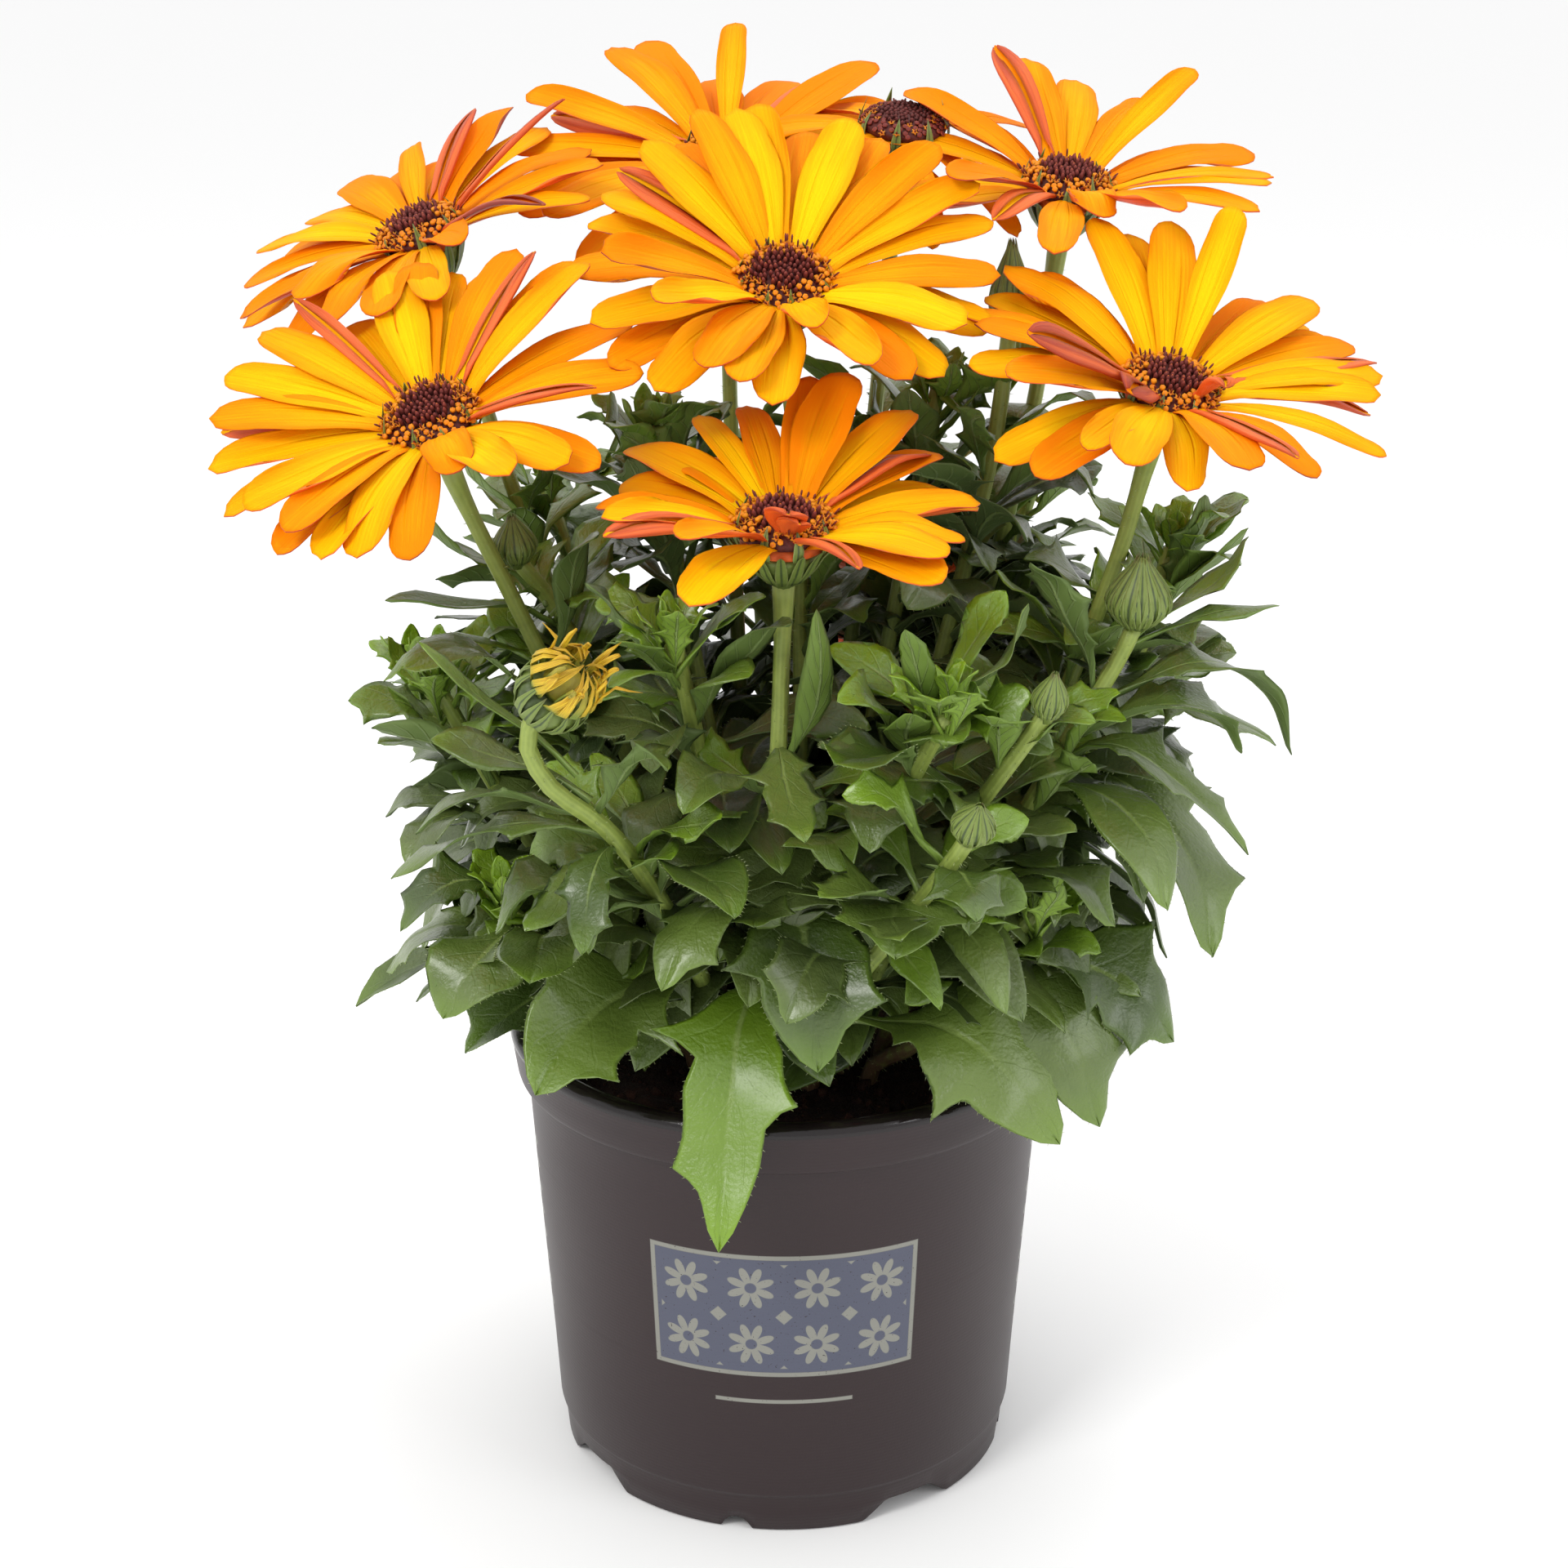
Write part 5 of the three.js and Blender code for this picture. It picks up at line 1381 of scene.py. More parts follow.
@dataclass
class Leaf:
    """A leaf from its root on a stem to its tip.

    Half its width is stalk + (1 - stalk) smooth((s - 0.1) / 0.5), drawn in to a point beyond 0.62,
    with sharp teeth that stand out from hollow edges. The blade is troughed or humped across, its
    edges wave, its line sways and its end curls.
    """

    root: Cell
    tip: Cell
    width: float
    arch: float
    roll: float
    edge: Edge
    age: float = 0.0
    chance: float = 0.5
    wave: float = 0.5

    FINE = np.array([-1, -0.9, -0.5, -0.1, 0, 0.1, 0.5, 0.9, 1])
    PLAIN = np.array([-1, -0.7, 0, 0.7, 1])
    STALK = 0.1
    POINT = 0.62
    NARROW = 7
    BROAD = 11
    FRINGED = 13

    def bent(self, yaw: float, rise: float) -> "Leaf":
        """The leaf turned about the upright and raised, as the solids bend it.

        Args:
            yaw: The turn in degrees.
            rise: How far its tip is raised.

        Returns:
            The bent leaf.
        """
        c, s = math.cos(math.radians(yaw)), math.sin(math.radians(yaw))
        x, y, z = self.tip - self.root
        tip = self.root + np.array([x * c - y * s, x * s + y * c, z + rise])
        return replace(self, tip=tip, arch=self.arch + abs(rise) * 0.3)

    def reach(self, s: Cell, teeth: Sequence[Row]) -> Cell:
        """Half the width along one side: each tooth swells up to a spine and falls away at once.

        Args:
            s: Places along the leaf.
            teeth: The place and size of each tooth.

        Returns:
            Half the width at each place.
        """
        end = np.where(s < self.POINT, 1.0, np.clip(1 - ((s - self.POINT) / 0.38) ** 2, 0, 1) ** 0.75)
        grown = np.ones_like(s)
        for place, size in teeth:
            up = np.clip((s - place + 0.15) / 0.15, 0, 1) ** 3.2
            down = np.clip(1 - (s - place) / 0.04, 0, 1) ** 1.5
            hollow = 0.32 * np.exp(-(((s - place - 0.07) / 0.04) ** 2))
            grown = grown + size * (1.2 * np.where(s < place, up, down) - hollow)
        return self.width / 2 * (self.STALK + (1 - self.STALK) * smooth((s - 0.1) / 0.5)) * end * grown

    def stations(self) -> Cell:
        """Places along the blade: even ones, with more round each tooth and at the tip.

        Returns:
            The places, from 0 to 1.
        """
        even = np.linspace(0, 1, 8 if self.width < self.NARROW else 11)
        teeth = [place for side in self.edge.value for place, _ in side]
        close = [place + step for place in teeth for step in (-0.06, -0.02, 0.0, 0.02, 0.06)]
        return np.unique(np.round(np.clip(np.concatenate([even, close, [0.965]]), 0, 1), 3))

    def surface(self) -> tuple[Cell, Cell, Cell, Cell, Cell]:
        """Works out the blade's middle surface.

        Returns:
            The surface, its normals, the places across and along, and half the width.
        """
        across = self.FINE if self.width >= self.BROAD else self.PLAIN
        v = self.stations()
        s, u = v[:, None], across[None]
        root, tip = self.root, self.tip
        middle = (root + tip) / 2 + UP * (2 * self.arch)
        level = unit((tip - root) * np.array([1.0, 1.0, 0.0]) + 1e-6)
        side = unit(np.cross(level, UP))
        normal = unit(np.cross(side, bezier_way(root, middle, tip, v)))
        side, normal = rolled(side, normal, self.roll * v)
        left, right = self.edge.value
        half = np.where(u < 0, self.reach(s, left), self.reach(s, right)) + 0.05
        long, luck = np.linalg.norm(tip - root), self.chance
        cup = lerp(-0.12, 0.34, (luck * 7.31) % 1)
        beat = 2 * np.pi * (0.9 + 0.9 * self.wave) * s + 9 * luck + np.where(u < 0, 0.0, 2.1)
        ripple = (0.16 + 0.2 * self.wave) * np.sin(beat) * np.abs(u) ** 1.6 * smooth(s / 0.35)
        height = (cup * np.abs(u) ** 1.4 + ripple) * half
        hump, curl = 0.05 * math.sin(11 * luck), 0.1 * math.cos(17 * luck)
        height = height + long * hump * np.sin(2.2 * np.pi * s) * smooth(s / 0.2) * (1 - s * 0.6)
        height = height + long * curl * smooth((s - 0.72) / 0.28) ** 2
        height = height - 0.02 * self.width * np.exp(-((u / 0.12) ** 2)) * smooth(s / 0.2)
        sway = 0.07 * long * math.sin(29 * luck) * np.sin(np.pi * s)
        spot = bezier(root, middle, tip, v)[:, None] + side[:, None] * (u * half + sway)[..., None]
        return spot + normal[:, None] * height[..., None], normal, across, v, half

    def grow(self, skin: Skin) -> None:
        """Adds the leaf, with its midrib standing out below, and bristles where it is large.

        Args:
            skin: The mesh to add to.
        """
        spot, normal, across, v, half = self.surface()
        s, u, normal = v[:, None], across[None], normal[:, None]
        body = (0.2 + 0.5 * (1 - smooth(s / 0.32))) * np.sqrt(np.clip(1 - u**2, 0, 1))
        body = body * np.minimum(1.0, half / 0.5)
        rib = 0.03 * self.width * np.exp(-((u / 0.12) ** 2)) * (1 - s) ** 0.7
        skin.blade(spot + normal * body[..., None], spot - normal * (body + rib)[..., None], across, v,
                   (Green.FACE, Green.BACK), (self.age, self.chance))
        if self.width >= self.FRINGED:
            self.fringe(skin, spot)

    def fringe(self, skin: Skin, spot: Cell) -> None:
        """Sets fine bristles along both edges, pointing out and a little forward.

        Args:
            skin: The mesh to add to.
            spot: The blade's middle surface.
        """
        share = np.linspace(3, len(spot) - 1.6, 26)
        low, part = share.astype(int), (share % 1)[:, None]
        for edge, inner in ((0, 1), (-1, -2)):
            line = spot[:, edge]
            way = line[low + 1] - line[low]
            out = unit(line[low] - spot[low, inner]) + 0.5 * unit(way)
            bristle(skin, line[low] + way * part, out, way, 0.4 + 0.3 * (share * 5.17 % 1))

    def clear(self) -> bool:
        """Whether the blade keeps out of the pot, the peat, the blooms and what has to show.

        Returns:
            False where it doesn't, or where it would leave the box.
        """
        spot = self.surface()[0][2:]
        far, z = np.hypot(spot[..., 0], spot[..., 1]), spot[..., 2]
        return not (self.tip[1] < BARE_FRONT and self.tip[2] < BARE_UNDER
                    or any(np.any((z < low) & (far > near) & (far <= wide)) for low, near, wide in KEPT_OVER)
                    or np.any(spot < LOW + 1.5) or np.any(spot > HIGH - 1.5)
                    or any(hides(spot, at, wide) for at, wide in SHOWN)
                    or any(bloom.covers(spot) for bloom in BLOOMS.values()))


# ---- pot and peat


@dataclass
class Pot:
    """The thin-walled pot, turned from one profile, with its foot lifted at the notches."""

    profile: Sequence[Row] = (
        (4, 4.2), (36, 4.2), (36, 0.35), (36.35, 0), (42.9, 0), (43.4, 0.45), (43.75, 4.3), (44.1, 7.6),
        (44.25, 8.0), (44.7, 8.35), (44.8, 8.8), (45.6, 22), (46.7, 38), (47.8, 54), (48.8, 70), (49.3, 77.6),
        (49.5, 78.5), (50.7, 78.6), (51.15, 78.85), (51.35, 79.5), (51.8, 82.5), (52.2, 85.3), (52.5, 86.4),
        (52.48, 87.1), (52.1, 87.85), (51.4, 88.32), (50.4, 88.5), (49.4, 88.35), (48.8, 87.9), (48.6, 87.2),
        (48.55, 84), (48.1, 79), (46.9, 60), (45.4, 36), (43.55, 7), (43.2, 6.0), (42.4, 5.6), (4, 5.6))
    sides: int = 360
    feet: int = 4
    first_notch: float = 33.0
    notch: tuple[float, float, float] = (13.5, 6.5, 4.0)
    half_round: float = 2.7
    foot_high: float = 4.3
    foot_wide: float = 43.4
    foot_inner: float = 36.1
    drains: tuple[int, float, float] = (4, 28.0, 3.2)
    cut: tuple[float, float] = (2.0, 8.0)

    def lifted(self, degrees: Cell) -> Cell:
        """The height of the foot's lower edge: ramps at the broad notches and a half round in each foot.

        Args:
            degrees: Angles round the pot.

        Returns:
            The height at each angle.
        """
        spacing = 360 / self.feet
        off = np.abs((degrees - self.first_notch + spacing / 2) % spacing - spacing / 2)
        wide, narrow, high = self.notch
        ramp = high * np.clip((wide - off) / (wide - narrow), 0, 1)
        near = np.radians(off - spacing / 2) * self.foot_wide
        return np.maximum(ramp, np.sqrt(np.clip(self.half_round**2 - near**2, 0, None)))

    def build(self, finishes: Finishes) -> None:
        """Turns the pot: each ring stands at its radius and height, and rings of the foot are lifted.

        Args:
            finishes: The finishes.
        """
        a = circle(self.sides)
        radius, height = np.array(self.profile).T[..., None]
        foot = (height < self.foot_high) & ((radius > self.foot_inner) | (height < 4))
        lifted = np.where(foot, np.maximum(height, self.lifted(np.degrees(a))), height)
        skin = Skin()
        skin.loft(np.stack([radius * np.sin(a), -radius * np.cos(a), lifted], -1))
        self.drill(skin.piece("nursery_pot", "pot", [finishes.pot], "pot"))

    def drill(self, piece: Object) -> None:
        """Cuts the drain holes through the floor.

        Args:
            piece: The pot.
        """
        count, ring, radius = self.drains
        skin, a = Skin(), circle(32)
        for turn in circle(count):
            x, y = ring * math.sin(turn) + radius * np.cos(a), radius * np.sin(a) - ring * math.cos(turn)
            skin.loft(np.stack([np.column_stack([x, y, np.full_like(a, z)]) for z in self.cut]))
        cutter = skin.piece("drain_cutter", "pot", [])
        cut = piece.modifiers.new("drains", "BOOLEAN")
        cut.object, cut.solver = cutter, "EXACT"
        bpy.context.view_layer.update()
        mesh = bpy.data.meshes.new_from_object(piece.evaluated_get(bpy.context.evaluated_depsgraph_get()))
        piece.modifiers.remove(cut)
        piece.data = mesh
        bpy.data.objects.remove(cutter)


def rumple(x: Cell, y: Cell, seed: int) -> Cell:
    """A smooth random height: a sum of crossed sines whose waves shorten and flatten, about -1 to 1.

    Args:
        x: Places to the right.
        y: Places to the back.
        seed: What the draws start from.

    Returns:
        The height at each place.
    """
    luck = np.random.default_rng(seed)
    longest, total = 24.0, np.zeros_like(x)
    for long in np.geomspace(longest, 2.0, 9):
        turn, shift, other = luck.uniform(0, 2 * np.pi, 3)
        along, over = x * np.cos(turn) + y * np.sin(turn), y * np.cos(turn) - x * np.sin(turn)
        wave = np.sin(2 * np.pi * along / long + shift) * np.cos(2 * np.pi * over / long / 1.3 + other)
        total += (long / longest) ** 0.7 * wave
    return total / 1.8


@dataclass
class Peat:
    """The peat in the pot: a rumpled surface with crumbs on it."""

    top: float = 82.7
    fall: float = 1.6
    edge: float = 47.3
    rough: float = 0.75
    walls: Sequence[Row] = ((46.7, 70.0), (43.0, 5.95), (6.0, 5.95))
    crumbs: int = 900
    seed: int = 11

    def height(self, x: Cell, y: Cell) -> Cell:
        """The surface's height: level in the middle, lower at the rim, rumpled all over."""
        rim = smooth((np.hypot(x, y) / self.edge - 0.75) / 0.25)
        return self.top - self.fall * rim + self.rough * rumple(x, y, self.seed)

    def build(self, finishes: Finishes) -> None:
        """Builds the surface as rings out to the wall, down it and under, and strews the crumbs.

        Args:
            finishes: The finishes.
        """
        skin, a = Skin(), circle(144)
        radii = np.linspace(0.6, self.edge, 56)
        x, y = np.outer(radii, np.cos(a)), np.outer(radii, np.sin(a))
        top = np.stack([x, y, self.height(x, y)], -1)
        walls = [np.column_stack([r * np.cos(a), r * np.sin(a), np.full_like(a, z)]) for r, z in self.walls]
        skin.loft(np.concatenate([top, walls])[::-1], marks=(0.5, 0.2))
        self.strew(skin)
        skin.piece("peat", "soil", [finishes.peat], "soil")

    def strew(self, skin: Skin) -> None:
        """Adds crumbs as squashed lumps of ten corners, each turned and sized by chance, half sunk.

        Args:
            skin: The mesh to add to.
        """
        luck = np.random.default_rng(self.seed)
        n = self.crumbs
        far, turn = (self.edge - 1.6) * np.sqrt(luck.uniform(0, 1, n)), luck.uniform(0, 2 * np.pi, n)
        x, y = far * np.cos(turn), far * np.sin(turn)
        axes = np.linalg.qr(luck.normal(size=(n, 3, 3)))[0]
        size = (0.35 + 1.15 * luck.uniform(0, 1, (n, 1)) ** 3) * luck.uniform(0.6, 1.25, (n, 3))
        at = np.column_stack([x, y, self.height(x, y) + 0.2 * size[:, 2]])
        points = np.array([[1, 0, 0], [0, 1, 0], [-1, 0, 0], [0, -1, 0], [0, 0, 1], [0, 0, -1],
                           [0.7, 0.7, 0.5], [-0.6, 0.7, -0.5], [-0.7, -0.6, 0.6], [0.7, -0.7, -0.4]], float)
        faces = np.array([[0, 6, 4], [6, 1, 4], [1, 2, 4], [2, 8, 4], [8, 3, 4], [3, 0, 4], [6, 0, 5],
                          [1, 6, 5], [7, 1, 5], [2, 7, 5], [8, 2, 5], [3, 8, 5], [9, 3, 5], [0, 9, 5],
                          [2, 1, 7], [0, 3, 9]])
        lump = Shape(points, np.column_stack([faces, np.full(len(faces), -1)]), 0.5)
        skin.scatter(lump, at, axes, size, luck.uniform(0, 1, n))


# ---- blooms


@dataclass
class Bloom:
    """An open bloom: its rays on their collar, and its disc of florets on a dome."""

    name: str
    spec: BloomSpec
    collar: Sequence[Row] = ((2.0, -1.75), (6.6, -1.75), (7.2, -1.3), (6.9, 0.0), (6.5, 0.15), (2.0, 0.15))
    rooted: float = 5.6
    florets: int = 190
    reach: float = 8.0
    open_from: float = 4.9
    star_share: float = 0.32
    dome_foot: float = 0.7
    dome_high: float = 3.3
    dome_wide: float = 8.35
    golden: float = 137.508

    @property
    def ripe(self) -> float:
        """How far its florets are out: half as far in a spent bloom."""
        return 0.5 if self.spec.age >= 1 else 1.0

    def build_rays(self, finishes: Finishes) -> None:
        """Builds the petals in their layers and the collar that they grow from.

        Args:
            finishes: The finishes.
        """
        skin, spec = Skin(), self.spec
        luck = draws(sum_of(self.name) * 7)
        for angle, lift, *rest in spec.petals:
            length, width, roll = [*rest, *(spec.length, spec.width, 0)[len(rest):]]
            age, chance = min(1.0, spec.age * (0.7 + 0.6 * next(luck))), next(luck)
            sunk = -0.55 - 0.03 * lift + 0.3 * next(luck)
            width *= 0.92 + 0.16 * next(luck)
            petal = Petal(spec.seat, angle, lift, length, width, roll, self.rooted, sunk,
                          age=age, chance=chance)
            petal.grow(skin)
        skin.turn(spec.seat, self.collar, 40, 1, (0.3, 0.2))
        skin.piece(f"ray_petals_{self.name}", "petals", finishes.petal, f"rays_{self.name}")

    def dome(self, far: Cell) -> Cell:
        """The dome's height at a distance from the middle."""
        return self.dome_foot + self.dome_high * np.sqrt(np.clip(1 - (far / self.dome_wide) ** 2, 0, 1))

    def build_disc(self, finishes: Finishes) -> None:
        """Builds the dome and sets the florets on it by the golden angle, shut inside and open outside.

        Args:
            finishes: The finishes.
        """
        skin, seat, count = Skin(), self.spec.seat, self.florets
        rings = [(r, self.dome(r)) for r in (7.9, 7.2, 6.2, 4.8, 3.2, 1.4)]
        skin.turn(seat, [(3.0, 0.2), (6.6, 0.2), (7.7, 0.6), *rings], 48, 0, (0.12, 0.3))
        luck = np.random.default_rng(sum_of(self.name))
        order = np.arange(count) + 0.5
        far = self.reach * np.sqrt(order / count)
        turn = order * math.radians(self.golden) + luck.normal(0, 0.05, count)
        at, radial = seat.place(far, self.dome(far) - 0.25, turn), seat.spoke(turn)
        axis = unit(seat.out + radial * ((far / self.reach) ** 3 * 1.1)[:, None])
        side = unit(np.cross(axis, np.cross(radial, axis)))
        axes = np.stack([side, np.cross(axis, side), axis], 1)
        spread = far + luck.normal(0, 0.4, count) > self.open_from
        chance = luck.uniform(0, 1, count)
        tall = 0.8 + 0.9 * smooth(far / 4.8) + 0.3 * chance
        tall = np.where(spread, 0.8 + 0.5 * (chance * 5 % 1), tall) * self.ripe
        size = np.column_stack([np.ones((count, 2)), tall])
        starred = spread & (chance >= 1 - self.star_share)
        for picked, shapes in zip((~spread, spread & ~starred, starred), self.floret_shapes()):
            for shape in shapes:
                skin.scatter(shape, at[picked], axes[picked], size[picked], chance[picked])
        skin.piece(f"floret_disc_{self.name}", "florets", [finishes.floret], f"disc_{self.name}")

    def floret_shapes(self) -> tuple[list[Shape], list[Shape], list[Shape]]:
        """Makes the florets.

        Returns:
            Shut ones, which are small pointed barrels, open ones, which are round knobs, and wide open
            ones, which are a tube spread into a star with a dark column.
        """
        barrel = Shape.turned([(0.3, 0, 0.0), (0.42, 0.5, 0.05), (0.36, 0.85, 0.22), (0.14, 1.1, 0.42),
                               (0, 1.11, 0.46)], 6, self.ripe)
        knob = Shape.turned([(0.24, 0, 0.1), (0.3, 0.45, 0.4), (0.53, 0.85, 0.74), (0.5, 1.15, 0.95),
                             (0.2, 1.32, 0.7), (0, 1.33, 0.7)], 6, self.ripe)
        tube = Shape.turned([(0.26, 0, 0.2), (0.3, 0.7, 0.45), (0.44, 1.1, 0.72), (0.3, 1.16, 0.6),
                             (0, 1.17, 0.6)], 5)
        column = Shape.turned([(0.12, 0.9, 0.1), (0.17, 1.6, 0.1), (0.2, 2.0, 0.3), (0.08, 2.3, 0.3),
                               (0, 2.31, 0.3)], 5)
        a, j = circle(10), np.arange(10)
        point = j % 2 == 0
        r = np.where(point, 0.78, 0.42)
        rim = np.column_stack([r * np.cos(a), r * np.sin(a), 1.1 + 0.25 * point])
        k, one = (j + 1) % 10, np.ones(10, int)
        rays = np.vstack([np.column_stack([j, k, 10 * one, -one]), np.column_stack([k, j, 11 * one, -one])])
        star = Shape(np.vstack([rim, [[0, 0, 1.07], [0, 0, 0.85]]]), rays,
                     np.append(np.where(point, 0.95, 0.72), [0.5, 0.5]))
        return [barrel], [knob], [tube, star, column]


@dataclass
class YellowBud:
    """The half-open bud's strap rays, curled over its middle."""

    at: Row = (-35.2, -78, 177.2)
    heading: float = 50.0
    rise: float = 42.0
    rays: int = 9
    fine_rays: int = 24
    root: float = 3.2
    long: float = 11.0
    lift: float = 66.0
    core: Sequence[Row] = ((1.5, 0.4), (3.4, 0.4), (3.7, 1.6), (2.6, 3.4), (0.9, 4.6))

    @property
    def seat(self) -> Seat:
        """Where it stands and faces."""
        return Seat.of(self.at, self.heading, self.rise)

    def build(self, finishes: Finishes) -> None:
        """Builds the rays of the solids, with finer ones between them, every sixth one open.

        Args:
            finishes: The finishes.
        """
        skin, seat = Skin(), self.seat
        raised = replace(seat, at=seat.at + seat.out * 1.8)
        luck, more = draws(77), draws(78)
        for i in range(self.rays):
            angle, lift = 360 / self.rays * i + 14 * next(luck), self.lift + 10 + 26 * next(luck)
            length, roll = 0.86 * (self.long + 4 * next(luck)), 60 * next(luck)
            strap = Petal(raised, angle, lift, length, 1.1, roll, self.root + 1, thick=0.5, claw=0.6,
                          chance=next(more), sway=0.8)
            strap.grow(skin, (0, 0))
        for i in range(self.fine_rays):
            high, wide, shut = 6.4 + 1.8 * next(more), 5.9 + 0.7 * next(more), 0.4 + 2.2 * next(more)
            track = [(5.0, 0.2), (wide, 2.2), (wide - 0.7, 4.4), (wide - 2.4, high - 0.6), (shut, high)]
            if i % 6 == 0:
                track = [(4.6, 0.2), (5.6, 2.6), (5.4, 5.4), (6.0, 7.8), (8.2 + shut, 8.6)]
            angle, width = 360 / self.fine_rays * i + 10 * next(more), 1.25 + 0.6 * next(more)
            sliver(skin, seat, angle, track, width, next(more), 0, 50 * next(more) - 10)
        skin.turn(seat, self.core, 20, 0, (0.5, 0.9))
        skin.piece("strap_rays", "bud_rays", [finishes.strap], "rays_bud_yellow")


# ---- leafy stems


@dataclass(frozen=True)
class SpiralRule:
    """How leaves run up a stem, each a golden turn further round, from rank 0 low down to rank 1 on top.

    Heights run from `foot` to the top leaf, gathered upwards. A range is the value at rank 0 and at
    rank 1, then how chance moves it: a width about it in degrees for `rise`, a least share and a span
    of shares for `long` and `wide`.
    """

    foot: float
    gather: float
    first: float
    spread: float
    long: Row
    rise: Row
    wide: Row
    arch: float
    roll: float
    outward: float
    young: tuple[float, float]
    edges: Sequence[Edge]
    top_edges: Sequence[Edge]
    top_from: float

    def leaf(self, i: int, root: Cell, rank: float, luck: Iterator[float]) -> Leaf:
        """Sets out a leaf.

        Args:
            i: Its number on the stem.
            root: Its root.
            rank: Its rank.
            luck: The stem's draws.

        Returns:
            The leaf.
        """
        spiral = (GOLDEN_TURN * i + self.first) % 360
        spiral = (spiral - 360 if spiral > 180 else spiral) * (self.spread + 0.4 * rank)
        outside = math.degrees(math.atan2(root[1], root[0]))
        heading = math.radians(outside + spiral + 30 * (next(luck) - 0.5))
        long = lerp(*self.long[:2], rank) * (self.long[2] + self.long[3] * next(luck))
        way = aim(heading, math.radians(lerp(*self.rise[:2], rank) + self.rise[2] * (next(luck) - 0.5)))
        wide = lerp(*self.wide[:2], rank) * (self.wide[2] + self.wide[3] * next(luck))
        edges = self.edges if rank < self.top_from else self.top_edges
        x, y, _ = root + way * long / 2
        roll = self.roll * (next(luck) - 0.5) - self.outward * math.sin(heading - math.atan2(y, x))
        age, least = self.young
        return Leaf(root, root + way * long, wide, long * lerp(self.arch, 0.1, rank), roll,
                    edges[i % len(edges)], age * smooth((rank - least) / (1 - least)))


# The rule of the solids, and a like one for the leaves between theirs.
SPRAY = SpiralRule(
    foot=96, gather=0.8, first=0, spread=0.55, long=(37, 19, 0.88, 0.24), rise=(-14, 46, 24),
    wide=(17, 7.5, 0.85, 0.3), arch=0.3, roll=40, outward=0, young=(0.75, 0.55),
    edges=(Edge.LOBED_A, E, Edge.LOBED_B, E), top_edges=(E,), top_from=0.85)
FILLING = SpiralRule(
    foot=90, gather=0.9, first=60, spread=0.5, long=(38, 20, 0.8, 0.35), rise=(-18, 42, 30),
    wide=(16, 7, 0.8, 0.4), arch=0.32, roll=50, outward=45, young=(0.6, 0.5),
    edges=(A, E, B, Edge.LOBED_A, E), top_edges=(E, B), top_from=0.8)


